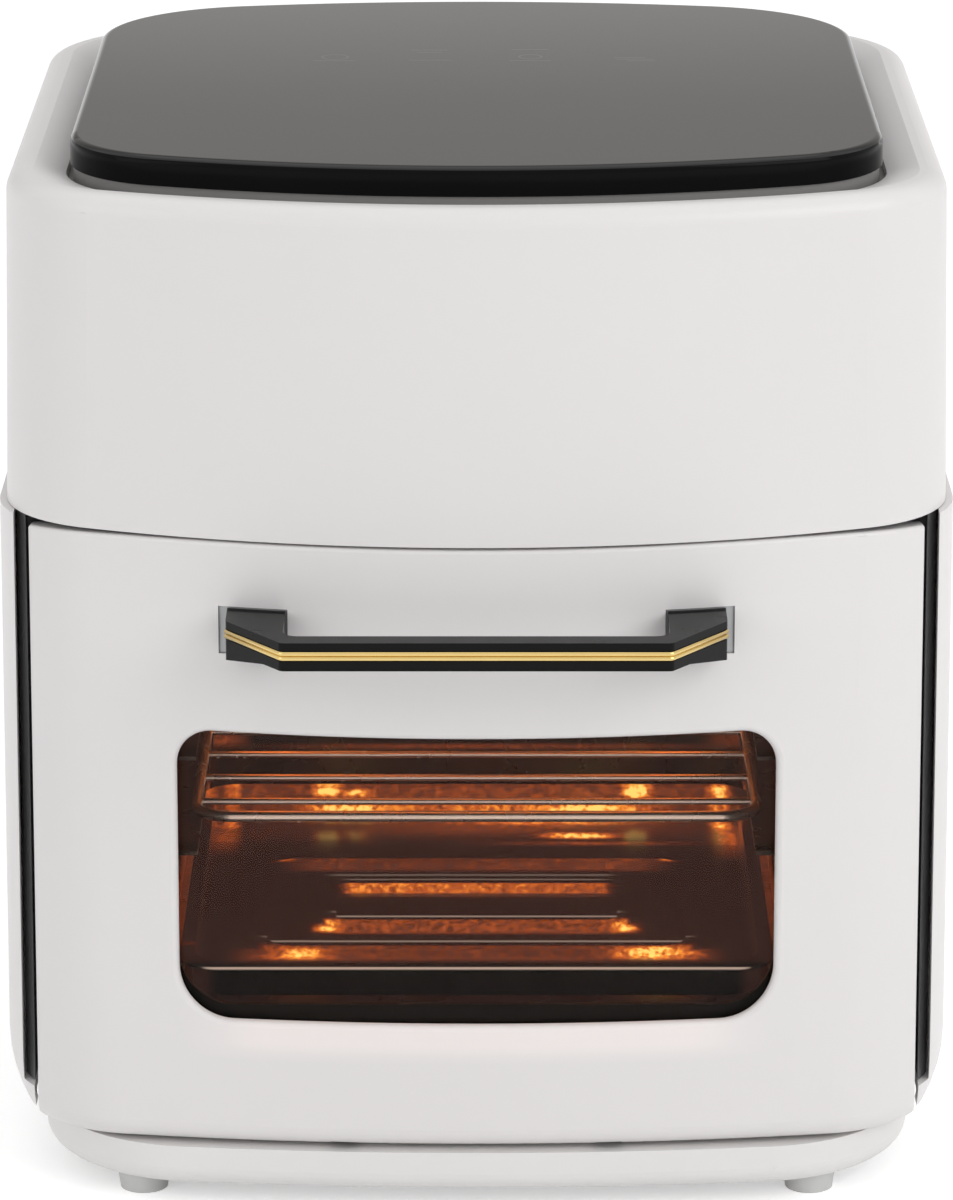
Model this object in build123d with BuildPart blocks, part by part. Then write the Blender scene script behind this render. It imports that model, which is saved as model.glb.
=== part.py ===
from build123d import *
import math
import os

# Air fryer oven with a drop-down glass door, in millimetres, Z up, the front facing -Y.
# The origin is the middle of the whole object's footprint, on the surface it stands on.

# Overall sizes
body_width = 320.0
body_depth = 336.0
total_height = 360.0
cover_rise = 9.0
seam_height = 237.2
under_height = 7.6
handle_reach = 31.0
rear_reach = 4.0

# Plan form of the body: arcs front and back, straight sides, round corners
front_radius_high = 360.0
front_radius_low = 950.0
back_radius = 450.0
front_corner = 46.0
back_corner = 60.0
crown_narrowing = 2.3

# Clearances
slip = 0.1
seat_gap = 0.3
moving_gap = 1.4
seam_gap = 1.2
sill_gap = 1.5
pin_clearance = 0.05

# Walls and sheets
shell_wall = 3.0
frame_wall = 3.0
sheet = 1.0
panel_proud = 2.5
panel_inner = 0.5

# Door
panel_front_inset = 3.7
panel_back_inset = 48.0
strip_width = 5.3
door_side_wall = 2.6
door_depth = 52.0
pane_gap = 1.3
door_liner_sheet = 2.0
hinge_inset = 9.5
hinge_rise = 9.0
sill_height = 22.5
door_toe_round = 7.0
door_edge_round = 1.5
door_brow_round = 1.2

# Window
window_width = 201.5
window_sill = 44.7
window_head = 28.6
window_top_round = 12.5
window_low_round = 18.5
window_lip = 2.0
glass_margin = 5.5
seal_thickness = 0.7
outer_glass_thickness = 2.6
inner_glass_thickness = 2.5

# Handle
handle_drop = 22.4
handle_bar_height = 9.6
handle_leg_height = 14.6
handle_bar_depth = 8.0
handle_front_half = 64.0
handle_back_half = 83.0
handle_leg_width = 19.4
handle_shoulder = 5.0
trim_height = 3.4
trim_drop = 2.8
trim_proud = 0.6
trim_sunk = 0.8
pad_width = 23.2
pad_height = 16.4
pad_thickness = 4.0
pad_sunk = 1.0

# Cavity
cavity_half_width = 108.0
cavity_low = 50.0
cavity_drop = 32.2
cavity_rear_space = 50.0
collar_step = 4.0
collar_margin = 7.5
frame_depth = 54.5

# Rack and tray
rack_drop = 87.0
rack_side_gap = 8.0
rack_front_depth = 77.0
rack_back_gap = 13.0
rack_bar_radius = 2.0
rack_wire_radius = 1.25
rack_wire_pitch = 26.6
rack_first_wire = 16.6
tray_rise = 6.5
tray_depth = 11.5
tray_side_gap = 8.0
tray_flange = 4.0
tray_front_depth = 60.0
tray_back_gap = 22.0
guide_rise = 8.0
guide_drop = 40.0
spare_rack_drop = 55.0

# Fan, motor and heater
shaft_radius = 4.0
fan_side_gap = 12.0
fan_top_gap = 2.0
fan_depth = 11.0
fan_blades = 10
motor_rise = 11.3
motor_length = 50.0
motor_radius = 32.0
cooling_radius = 46.0
cooling_rise = 6.0
cooling_depth = 11.0
cooling_blades = 7
heater_drop = 19.0
heater_radius = 3.2
heater_side_gap = 8.0
heater_ring_step = 12.0
heater_gap_degrees = 15.0
heater_bend = 8.0
guard_drop = 28.0
guard_side_gap = 14.0
guard_wire = 1.1
guard_first_ring = 24.0
guard_pitch = 18.0

# Touch panel
cover_inset = 20.4
cover_shifts = (4.8, -6.4)
cover_corners = (62.4, 82.0)
cover_height = 10.0
cover_round = 2.6
cover_wall = 3.0
cover_gap = 1.5
recess_inset = 9.0
recess_shifts = (0.0, -1.0)
recess_depth = 4.6
rim_round = 6.3
deck_thickness = 1.2

# Places that follow from the sizes above
body_y = (handle_reach - rear_reach) / 2
front_y = body_y - body_depth / 2
back_y = body_y + body_depth / 2
rim_height = total_height - cover_rise
panel_front_x = body_width / 2 - panel_front_inset
panel_back_x = body_width / 2 - panel_back_inset
door_half_width = panel_front_x - strip_width
door_bottom = sill_height + sill_gap
door_top = seam_height - seam_gap
hinge_y = front_y + hinge_inset
hinge_z = door_bottom + hinge_rise
door_back_y = front_y + door_depth
door_swing = math.hypot(door_top - hinge_z, hinge_inset)
frame_y = front_y + frame_depth
cavity_high = seam_height - cavity_drop
cavity_back_y = back_y - cavity_rear_space
collar_half_width = cavity_half_width + collar_margin
collar_top = cavity_high + collar_margin + sheet
core_top = collar_top + frame_wall
handle_top = door_top - handle_drop
handle_low = handle_top - handle_leg_height
window_low = door_bottom + window_sill
window_high = handle_low - window_head
window_height = window_high - window_low
window_middle = (window_low + window_high) / 2
pane_width = window_width + 2 * glass_margin
core_half_width = max(collar_half_width + frame_wall, pane_width / 2)
base_floor = under_height + shell_wall + panel_inner
frame_low = sill_height + sheet
frame_high = seam_height - seat_gap
deck_low = seam_height + seat_gap
deck_high = deck_low + deck_thickness
rack_height = cavity_high - rack_drop
rack_half_width = cavity_half_width - rack_side_gap
spare_rack_height = cavity_high - spare_rack_drop
tray_low = cavity_low + tray_rise
tray_rim = tray_low + tray_depth
tray_half_width = cavity_half_width - tray_side_gap
guard_height = cavity_high - guard_drop
guard_radius = min(cavity_half_width, cavity_back_y - body_y) - guard_side_gap
heater_height = cavity_high - heater_drop
heater_outer_ring = guard_radius - heater_side_gap
heater_inner_ring = heater_outer_ring - heater_ring_step
fan_high = cavity_high - fan_top_gap
fan_low = fan_high - fan_depth
fan_radius = heater_inner_ring - fan_side_gap
motor_low = deck_high + motor_rise
motor_high = motor_low + motor_length
cooling_low = motor_high + cooling_rise
cooling_high = cooling_low + cooling_depth
cover_low = total_height - cover_height
recess_floor = rim_height - recess_depth
recess_hole_inset = cover_inset - cover_gap
far = body_width + body_depth


def front_radius(z):
    """The front's plan radius at height z: flatter towards the bottom."""
    share = (z - under_height) / (seam_height - under_height)
    share = min(max(share, 0.0), 1.0)
    return 1 / ((1 - share) / front_radius_low + share / front_radius_high)


# Depths behind the door's front, where the bent outer pane reaches furthest back at its top corners
pane_corner_radius = front_radius(window_high + glass_margin)
pane_sag = pane_corner_radius - math.sqrt(pane_corner_radius**2 - (pane_width / 2) ** 2)
outer_inset = shell_wall + seal_thickness + slip
inner_pane_y = front_y + pane_sag + outer_inset + outer_glass_thickness + pane_gap + inner_glass_thickness
door_core_y = inner_pane_y + slip + door_liner_sheet
collar_y = door_core_y + collar_step
liner_y = collar_y + frame_wall + slip


def corner_points(arc_radius, edge_y, half_width, corner, side):
    """The arc's end, the corner's middle and the side's end, for the corner at +X."""
    arc_y = edge_y + side * arc_radius
    centre_x = half_width - corner
    centre_y = arc_y - side * math.sqrt((arc_radius - corner) ** 2 - centre_x**2)
    reach = arc_radius / (arc_radius - corner)
    arc_end = (centre_x * reach, arc_y + (centre_y - arc_y) * reach)
    along = Vector(arc_end[0] - centre_x, arc_end[1] - centre_y).normalized() + Vector(1, 0)
    middle = Vector(centre_x, centre_y) + along.normalized() * corner
    return arc_end, (middle.X, middle.Y), (half_width, centre_y)


def mirrored(point):
    """The point on the other side of the body's middle plane."""
    return (-point[0], point[1])


def outline(z, inset=0.0, narrowing=0.0, corners=(front_corner, back_corner), shifts=(0.0, 0.0)):
    """Draws the body's plan outline at height z, moved inwards by inset, and its ends also by shifts."""
    half_width = body_width / 2 - inset - narrowing
    front = front_y + inset + shifts[0]
    back = back_y - inset - shifts[1]
    f_arc, f_mid, f_side = corner_points(front_radius(z) - inset, front, half_width, corners[0] - inset, 1)
    b_arc, b_mid, b_side = corner_points(back_radius - inset, back, half_width, corners[1] - inset, -1)
    with BuildSketch(Plane.XY.offset(z)) as sketch:
        with BuildLine():
            ThreePointArc(mirrored(f_arc), (0, front), f_arc)
            ThreePointArc(f_arc, f_mid, f_side)
            Line(f_side, b_side)
            ThreePointArc(b_side, b_mid, b_arc)
            ThreePointArc(b_arc, (0, back), mirrored(b_arc))
            ThreePointArc(mirrored(b_arc), mirrored(b_mid), mirrored(b_side))
            Line(mirrored(b_side), mirrored(f_side))
            ThreePointArc(mirrored(f_side), mirrored(f_mid), mirrored(f_arc))
        make_face()
    return sketch.sketch


def body_form(inset=0.0, mode=Mode.ADD):
    """Adds or cuts the body's form below the seam, moved inwards by inset."""
    loft([outline(under_height, inset), outline(seam_height, inset)], ruled=True, mode=mode)


def block(low, high, mode=Mode.ADD):
    """Adds or cuts a box between two opposite corners."""
    middle = tuple((a + b) / 2 for a, b in zip(low, high))
    size = [b - a for a, b in zip(low, high)]
    with Locations(middle):
        Box(*size, mode=mode)


def rod(start, end, radius, mode=Mode.ADD):
    """Adds or cuts a round rod between two points."""
    direction = Vector(*end) - Vector(*start)
    with BuildSketch(Plane(origin=start, z_dir=direction)) as section:
        Circle(radius)
    extrude(section.sketch, amount=direction.length, mode=mode)


def disc(centre, low, high, radius, mode=Mode.ADD):
    """Adds or cuts an upright round disc or hole."""
    rod((centre[0], centre[1], low), (centre[0], centre[1], high), radius, mode)


def window_block(growth, y_low, y_high, mode):
    """Adds, cuts or keeps the window's shape, grown all round, between two Y planes."""
    with BuildSketch(Plane.XZ.offset(-y_high)) as shape:
        with Locations((0, window_middle)):
            Rectangle(window_width + 2 * growth, window_height + 2 * growth)
        fillet(shape.vertices().group_by(Axis.Y)[0], window_low_round + growth)
        fillet(shape.vertices().group_by(Axis.Y)[-1], window_top_round + growth)
    extrude(shape.sketch, amount=y_high - y_low, mode=mode)


def swing_keep(radius):
    """Keeps what lies within radius of the door hinge's axis, so that the top edge clears."""
    with BuildSketch(Plane.YZ.offset(-far / 2)) as circle:
        with Locations((hinge_y, hinge_z)):
            Circle(radius)
    extrude(circle.sketch, amount=far, mode=Mode.INTERSECT)


# Base pan: the closed tray that everything stands on
foot_side_inset = 45.0
foot_front_inset = 28.0
foot_back_inset = 34.0
foot_x = body_width / 2 - foot_side_inset
foot_front_y = front_y + foot_front_inset
foot_back_y = back_y - foot_back_inset
foot_places = [(x, y) for x in (-foot_x, foot_x) for y in (foot_front_y, foot_back_y)]
foot_screw_radius = 2.0
base_inset = 0.8
base_side_inset = 8.6
base_corners = (56.8, 66.0)
base_round = 7.0
base_wall = 4.5
curb_height = 3.2
ledge_depth = 20.0
ledge_sheet = 2.5


def base_form(low, high, inset, mode=Mode.ADD):
    """Adds or cuts the base's form, narrower than the body, between two heights."""
    plans = [outline(z, inset, base_side_inset, base_corners) for z in (low, high)]
    loft(plans, ruled=True, mode=mode)


with BuildPart() as base_hollow:
    base_form(base_floor, sill_height + curb_height, base_inset + base_wall)
    block((-far, -far, sill_height - ledge_sheet), (far, front_y + ledge_depth, far), Mode.SUBTRACT)

with BuildPart() as base_pan:
    base_form(under_height, sill_height + curb_height, base_inset)
    fillet(base_pan.faces().sort_by(Axis.Z)[0].edges(), base_round)
    block((-far, -far, sill_height), (far, frame_y + 2 * frame_wall, far), Mode.SUBTRACT)
    add(base_hollow.part, mode=Mode.SUBTRACT)
    for place in foot_places:
        disc(place, under_height, base_floor, foot_screw_radius + pin_clearance, Mode.SUBTRACT)

# Rubber feet and the screws that hold them
foot_top_radius = 9.2
foot_low_radius = 8.2
screw_head_radius = 3.6
screw_head = 2.2
foot_recess = 3.0

with BuildPart() as rubber_feet:
    for place in foot_places:
        with BuildSketch(Plane.XY):
            with Locations(place):
                Circle(foot_low_radius)
        with BuildSketch(Plane.XY.offset(under_height)):
            with Locations(place):
                Circle(foot_top_radius)
        loft()
        disc(place, foot_recess, under_height, foot_screw_radius + pin_clearance, Mode.SUBTRACT)

with BuildPart() as foot_screws:
    for place in foot_places:
        disc(place, foot_recess + seat_gap, base_floor, foot_screw_radius)
        disc(place, base_floor, base_floor + screw_head, screw_head_radius)

# Side panels: they wrap the front and rear corners and stand a little proud
panel_low = 26.0
panel_toe = 24.0
toe_draw = 6.0
toe_steps = 4
strip_low = 36.2
strip_x_low = door_half_width + moving_gap
strip_x_high = panel_front_x - seat_gap


def panel_form(inset, mode=Mode.ADD):
    """Adds or cuts the side panels' form, moved inwards by inset, with its toe drawn in."""
    plans = [outline(seam_height - seat_gap, inset)]
    for step in range(toe_steps + 1):
        share = step / toe_steps
        plans.append(outline(panel_low + panel_toe * (1 - share), inset + toe_draw * share**2))
    loft(plans, ruled=True, mode=mode)


def side_panel(side):
    """One side panel: it ends beside the strip, and below the strip beside the door."""
    with BuildPart() as panel:
        panel_form(-panel_proud)
        panel_form(panel_inner, Mode.SUBTRACT)
        inner = min(side * panel_back_x, side * far)
        block((inner, -far, panel_low), (inner + far - panel_back_x, far, seam_height), Mode.INTERSECT)
        for reach, low in ((panel_front_x, strip_low), (strip_x_low, 0)):
            edge = min(0, side * reach)
            block((edge, -far, low), (edge + reach, body_y, far), Mode.SUBTRACT)
    return panel


side_panel_right = side_panel(1)
side_panel_left = side_panel(-1)

# Rear cover with its intake slots and the hole for the cable gland
rear_proud = 2.0
rear_thickness = 2.5
slot_length = 34.0
slot_width = 3.4
slot_pitch = 8.0
slot_rows = 9
slot_columns = 4
slot_column_pitch = 44.0
slot_middle = 120.0
gland_x = 0.0
gland_z = 46.0
gland_radius = 6.5
gland_collar = 10.0
gland_bore = 3.6

with BuildPart() as rear_cover:
    body_form(-rear_proud)
    half = panel_back_x - seat_gap
    block((-half, body_y, frame_low), (half, far, seam_height - seat_gap), Mode.INTERSECT)
    body_form(rear_thickness - rear_proud, Mode.SUBTRACT)
    with BuildSketch(Plane.XZ.offset(-far)):
        with Locations((0, slot_middle)):
            with GridLocations(slot_column_pitch, slot_pitch, slot_columns, slot_rows):
                SlotOverall(slot_length, slot_width)
    extrude(amount=far - body_y, mode=Mode.SUBTRACT)
    rod((gland_x, body_y, gland_z), (gland_x, far, gland_z), gland_radius + slip, Mode.SUBTRACT)

# Cable gland: a bush with an outer collar; no cord is part of the object
gland_surface = back_y + rear_reach
with BuildPart() as cable_gland:
    rod((gland_x, gland_surface - 16, gland_z), (gland_x, gland_surface, gland_z), gland_collar)
    body_form(-rear_proud - slip, Mode.SUBTRACT)
    rod((gland_x, gland_surface - 16, gland_z), (gland_x, gland_surface - 1, gland_z), gland_radius)
    rod((gland_x, gland_surface - 18, gland_z), (gland_x, gland_surface + 1, gland_z), gland_bore, Mode.SUBTRACT)

# Front frame: black, behind the door, with the cavity collar and the strips beside the door
strip_inset = 2.0
hinge_x = 45.0
hinge_arm_half = 4.0
hinge_arm_low = 3.0
hinge_arm_high = 3.5
hinge_knuckle = 3.9
pin_radius = 1.5

with BuildPart() as front_frame:
    body_form(strip_inset)
    block((-strip_x_high, -far, frame_low), (strip_x_high, frame_y + frame_wall, frame_high), Mode.INTERSECT)
    block((-strip_x_low, -far, 0), (strip_x_low, frame_y, far), Mode.SUBTRACT)
    for edge in (-far, strip_x_low):
        block((edge, -far, 0), (edge + far - strip_x_low, far, strip_low + seat_gap), Mode.SUBTRACT)
    block((-collar_half_width, collar_y, frame_low), (collar_half_width, frame_y + frame_wall, collar_top))
    block(
        (frame_wall - collar_half_width, collar_y + frame_wall, frame_low + frame_wall),
        (collar_half_width - frame_wall, frame_y + frame_wall, collar_top - frame_wall),
        Mode.SUBTRACT,
    )
    block((-cavity_half_width, collar_y, cavity_low), (cavity_half_width, far, cavity_high), Mode.SUBTRACT)
    for x in (-hinge_x, hinge_x):
        half = hinge_arm_half + slip
        low = hinge_z - hinge_arm_low - slip
        high = hinge_z + hinge_arm_high + slip
        block((x - half, collar_y - slip, low), (x + half, collar_y + frame_wall + slip, high), Mode.SUBTRACT)

# Door gasket round the cavity mouth
gasket_width = 3.6
gasket_proud = 3.4

with BuildPart() as door_gasket:
    block(
        (-cavity_half_width - gasket_width, collar_y - gasket_proud, cavity_low - gasket_width),
        (cavity_half_width + gasket_width, collar_y, cavity_high + gasket_width),
    )
    fillet(door_gasket.edges().filter_by(Axis.Y), gasket_width)
    block((-cavity_half_width, -far, cavity_low), (cavity_half_width, far, cavity_high), Mode.SUBTRACT)

# Cavity liner: the sheet-steel box, with a front flange and holes for shaft, heater, lamp and probe
lamp_shift = 62.0
lamp_drop = 21.0
lamp_y = body_y + lamp_shift
lamp_z = cavity_high - lamp_drop
lamp_radius = 12.0
probe_x = -64.0
probe_rise = 32.0
probe_z = rack_height + probe_rise
probe_radius = 2.0
shaft_hole = 9.0
liner_flange = 3.0
heater_hole = heater_radius + 0.6


def ring_point(radius, degrees, z=heater_height):
    """A point on a ring round the fan's axis."""
    turn = math.radians(degrees)
    return Vector(radius * math.cos(turn), body_y + radius * math.sin(turn), z)


heater_start = 90.0 + heater_gap_degrees
heater_end = 90.0 - heater_gap_degrees
heater_way = Vector(-math.sin(math.radians(heater_start)), math.cos(math.radians(heater_start)))
terminal_places = [
    ring_point(radius, heater_start) - heater_way * heater_bend
    for radius in (heater_outer_ring, heater_inner_ring)
]
insulator_places = [(place.X, place.Y) for place in terminal_places]

with BuildPart() as cavity_liner:
    block(
        (-cavity_half_width - sheet, liner_y, cavity_low - sheet),
        (cavity_half_width + sheet, cavity_back_y + sheet, cavity_high + sheet),
    )
    block(
        (-cavity_half_width - liner_flange, liner_y, cavity_low - liner_flange),
        (cavity_half_width + liner_flange, liner_y + sheet, cavity_high + liner_flange),
    )
    block((-cavity_half_width, -far, cavity_low), (cavity_half_width, cavity_back_y, cavity_high), Mode.SUBTRACT)
    disc((0, body_y), cavity_high, cavity_high + sheet, shaft_hole, Mode.SUBTRACT)
    for place in insulator_places:
        disc(place, cavity_high, cavity_high + sheet, heater_hole, Mode.SUBTRACT)
    rod((cavity_half_width, lamp_y, lamp_z), (far, lamp_y, lamp_z), lamp_radius, Mode.SUBTRACT)
    rod((probe_x, cavity_back_y, probe_z), (probe_x, far, probe_z), probe_radius + slip, Mode.SUBTRACT)

# Liner rails: two folded rails that carry the cavity on the base
rail_half = 9.0
rail_inset = 26.0
rail_x = cavity_half_width - rail_inset
rail_front_y = frame_y + 8.0
rail_top = cavity_low - sheet - slip

with BuildPart() as liner_rails:
    for x in (-rail_x, rail_x):
        block((x - rail_half, rail_front_y, base_floor), (x + rail_half, cavity_back_y, base_floor + sheet))
        block((x - sheet, rail_front_y, base_floor), (x + sheet, cavity_back_y, rail_top))
        block((x - rail_half, rail_front_y, rail_top - sheet), (x + rail_half, cavity_back_y, rail_top))

# Rack guides: pressed ledges on both side walls
guide_front_y = front_y + 46.0
guide_back_y = cavity_back_y - 8.0
tray_ledge_reach = 5.8
rack_ledge_reach = 12.0
ledge = 1.4


def rack_guide(side):
    """One side's guide, a plate with a ledge for the tray and two for the rack."""
    plate = cavity_half_width - slip
    with BuildPart() as guide:
        xs = sorted((side * plate, side * (plate - sheet)))
        block((xs[0], guide_front_y, cavity_low + guide_rise), (xs[1], guide_back_y, cavity_high - guide_drop))
        ledges = [
            (tray_rim - sheet - seat_gap, tray_ledge_reach),
            (rack_height - rack_bar_radius - seat_gap, rack_ledge_reach),
            (spare_rack_height, rack_ledge_reach),
        ]
        for top, reach in ledges:
            xs = sorted((side * plate, side * (plate - reach)))
            block((xs[0], guide_front_y, top - ledge), (xs[1], guide_back_y, top))
    return guide


rack_guide_right = rack_guide(1)
rack_guide_left = rack_guide(-1)

# Wire rack: a round bar frame with cross wires
rack_corner = 12.0
rack_front_y = front_y + rack_front_depth
rack_length = cavity_back_y - rack_back_gap - rack_front_y
rack_x = rack_half_width - rack_bar_radius
rack_wires = int((rack_length - rack_first_wire - rack_corner / 2) // rack_wire_pitch) + 1

with BuildPart() as wire_rack:
    with BuildLine(Plane.XY.offset(rack_height)) as rack_path:
        corners = [(-rack_x, 0), (rack_x, 0), (rack_x, rack_length), (-rack_x, rack_length)]
        corners = [(x, y + rack_front_y) for x, y in corners]
        FilletPolyline(*corners, radius=rack_corner, close=True)
    with BuildSketch(Plane(origin=(0, rack_front_y, rack_height), z_dir=(1, 0, 0))):
        Circle(rack_bar_radius)
    sweep(path=rack_path.wire())
    for number in range(rack_wires):
        y = rack_front_y + rack_first_wire + number * rack_wire_pitch
        rod((-rack_x, y, rack_height), (rack_x, y, rack_height), rack_wire_radius)

# Drip tray: a shallow pan with a flange and two rounded beads
tray_front_y = front_y + tray_front_depth
tray_back_y = cavity_back_y - tray_back_gap
tray_middle_y = (tray_front_y + tray_back_y) / 2
tray_corner = 14.0
bead_width = 5.0
bead_height = 1.8
bead_side_gap = 20.0
bead_step = 24.0
bead_widths = (100.0, 45.0)
bead_corners = (15.0, 10.0)
bead_shift = 10.0


def tray_plan(low, high, margin, mode):
    """Adds or cuts the tray's rounded plan between two heights."""
    length = tray_back_y - tray_front_y - 2 * margin
    width = 2 * (tray_half_width + tray_flange - margin)
    with BuildSketch(Plane.XY.offset(low)) as plan:
        with Locations((0, tray_middle_y)):
            RectangleRounded(width, length, tray_corner)
    extrude(plan.sketch, amount=high - low, mode=mode)


with BuildPart() as drip_tray:
    tray_plan(tray_low, tray_rim, tray_flange, Mode.ADD)
    tray_plan(tray_rim - sheet, tray_rim, 0, Mode.ADD)
    tray_plan(tray_low + sheet, tray_rim, tray_flange + sheet, Mode.SUBTRACT)
    for number, width in enumerate(bead_widths):
        length = 2 * (tray_half_width - bead_side_gap - number * bead_step)
        corner = bead_corners[number]
        with BuildSketch(Plane.XY.offset(tray_low + sheet)):
            with Locations((0, tray_middle_y - bead_shift)):
                RectangleRounded(length, width, corner)
                inner = (length - 2 * bead_width, width - 2 * bead_width)
                RectangleRounded(*inner, corner - bead_width, mode=Mode.SUBTRACT)
        extrude(amount=bead_height)

# Heating element: one tube bent into a double ring, with both ends rising through the liner
heater_rise = 22.0
heater_top = cavity_high + heater_rise
up = Vector(0, 0, 1)


def terminal(radius):
    """The end of a ring that bends up and rises through the liner."""
    ring = ring_point(radius, heater_start)
    centre = ring + up * heater_bend
    lifted = centre - heater_way * heater_bend
    middle = centre - (heater_way + up).normalized() * heater_bend
    ThreePointArc(ring, middle, lifted)
    Line(lifted, Vector(lifted.X, lifted.Y, heater_top))


with BuildPart() as heating_element:
    with BuildLine() as heater_path:
        terminal(heater_outer_ring)
        ThreePointArc(
            ring_point(heater_outer_ring, heater_start),
            ring_point(heater_outer_ring, 270),
            ring_point(heater_outer_ring, heater_end),
        )
        turn_radius = (heater_outer_ring - heater_inner_ring) / 2
        turn_way = Vector(-math.sin(math.radians(heater_end)), math.cos(math.radians(heater_end)))
        turn_middle = ring_point(heater_inner_ring + turn_radius, heater_end) + turn_way * turn_radius
        ThreePointArc(
            ring_point(heater_outer_ring, heater_end), turn_middle, ring_point(heater_inner_ring, heater_end)
        )
        ThreePointArc(
            ring_point(heater_inner_ring, heater_end),
            ring_point(heater_inner_ring, 270),
            ring_point(heater_inner_ring, heater_start),
        )
        terminal(heater_inner_ring)
    start = terminal_places[0]
    with BuildSketch(Plane(origin=(start.X, start.Y, heater_top), z_dir=(0, 0, -1))):
        Circle(heater_radius)
    sweep(path=heater_path.wire())

# Heater clips: straps that hang the double ring from the liner's top
clip_width = 8.0
clip_angles = (180.0, 270.0, 360.0)
clip_rod_radius = 2.2

with BuildPart() as heater_clips:
    for degrees in clip_angles:
        middle = (heater_outer_ring + heater_inner_ring) / 2
        reach = (heater_outer_ring - heater_inner_ring) / 2
        spot = ring_point(middle, degrees)
        with BuildSketch(Plane(origin=(spot.X, spot.Y, heater_height + heater_radius + slip), z_dir=(0, 0, 1))):
            with Locations(Location((0, 0, 0), (0, 0, degrees))):
                Rectangle(2 * reach + 2 * heater_radius, clip_width)
        extrude(amount=sheet)
        disc((spot.X, spot.Y), heater_height - heater_radius, cavity_high - slip, clip_rod_radius)

# Element guard: wire rings on spokes, hung from the liner's top by posts
guard_steps = math.ceil((guard_radius - guard_first_ring) / guard_pitch)
guard_rings = [guard_first_ring + number * guard_pitch for number in range(guard_steps)] + [guard_radius]
guard_turns = (45, 135, 225, 315)
guard_post_radius = 2.0
guard_overshoot = 2.0
spoke_height = guard_height + 1.2 * guard_wire

with BuildPart() as element_guard:
    with Locations((0, body_y, guard_height)):
        for radius in guard_rings:
            Torus(radius, guard_wire)
    for degrees in guard_turns:
        outer = ring_point(guard_radius + guard_overshoot, degrees, spoke_height)
        inner = ring_point(guard_rings[0] - guard_overshoot, degrees, spoke_height)
        rod(tuple(outer), tuple(inner), guard_wire)
        post = ring_point(guard_radius, degrees)
        disc((post.X, post.Y), guard_height, cavity_high - slip, guard_post_radius)

# Hot-air fan under the cavity's top
hub_radius = 9.0
blade_sheet = 1.2
blade_margin = 2.0
blade_root = hub_radius - blade_margin
blade_length = fan_radius - blade_margin - blade_root
fan_plate = 1.2

with BuildPart() as hot_air_fan:
    disc((0, body_y), fan_high - fan_plate, fan_high, fan_radius)
    disc((0, body_y), fan_low, fan_high, hub_radius)
    for number in range(fan_blades):
        with BuildSketch(Plane.XY.offset(fan_low)):
            with Locations(Location((0, body_y, 0), (0, 0, number * 360 / fan_blades))):
                with Locations((blade_root + blade_length / 2, 0)):
                    Rectangle(blade_length, blade_sheet)
        extrude(amount=fan_high - fan_low - slip)
    disc((0, body_y), fan_low, fan_high, shaft_radius + pin_clearance, Mode.SUBTRACT)

# Motor: housing with bushes at both ends, stator ring and rotor
motor_wall = 2.0
bush_radius = 9.0
bush_height = 7.0
stator_bore = 17.0
rotor_radius = 16.2
stator_end = 12.0
stator_low = motor_low + stator_end
stator_high = motor_high - stator_end
ear_radius = 7.0
ear_reach = 4.0
motor_screw_radius = 2.0
ear_points = [ring_point(motor_radius + ear_reach, degrees) for degrees in (90, 210, 330)]
ear_places = [(point.X, point.Y) for point in ear_points]

with BuildPart() as motor_housing:
    disc((0, body_y), motor_low, motor_high, motor_radius)
    for place in ear_places:
        disc(place, motor_low, motor_low + motor_wall, ear_radius)
        disc(place, motor_low, motor_low + motor_wall, motor_screw_radius + slip, Mode.SUBTRACT)
    disc((0, body_y), motor_low + motor_wall, motor_high - motor_wall, motor_radius - motor_wall, Mode.SUBTRACT)
    disc((0, body_y), motor_low, motor_high, bush_radius + slip, Mode.SUBTRACT)

with BuildPart() as motor_stator:
    disc((0, body_y), stator_low, stator_high, motor_radius - motor_wall - slip)
    disc((0, body_y), stator_low, stator_high, stator_bore, Mode.SUBTRACT)

with BuildPart() as motor_bushes:
    for low in (motor_low, motor_high - bush_height):
        disc((0, body_y), low, low + bush_height, bush_radius)
        disc((0, body_y), low, low + bush_height, shaft_radius + pin_clearance, Mode.SUBTRACT)

with BuildPart() as motor_rotor:
    disc((0, body_y), stator_low, stator_high, rotor_radius)
    disc((0, body_y), stator_low, stator_high, shaft_radius + pin_clearance, Mode.SUBTRACT)

shaft_end = 7.0
with BuildPart() as motor_shaft:
    disc((0, body_y), fan_low - shaft_end, cooling_high + shaft_end, shaft_radius)

# Motor posts and screws on the deck
post_radius = 4.0

with BuildPart() as motor_posts:
    for place in ear_places:
        disc(place, deck_high, motor_low - slip, post_radius)
        disc(place, deck_high, motor_low - slip, motor_screw_radius + slip, Mode.SUBTRACT)

with BuildPart() as motor_screws:
    for place in ear_places:
        seat = motor_low + motor_wall + slip
        disc(place, deck_high + seat_gap, seat, motor_screw_radius)
        disc(place, seat, seat + screw_head, screw_head_radius)

# Cooling fan above the motor, and the nuts that hold both fans
nut_radius = 7.0
nut_height = 5.0
cooling_blade_length = cooling_radius - blade_margin - blade_root
cooling_blade_turn = 12.0

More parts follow.
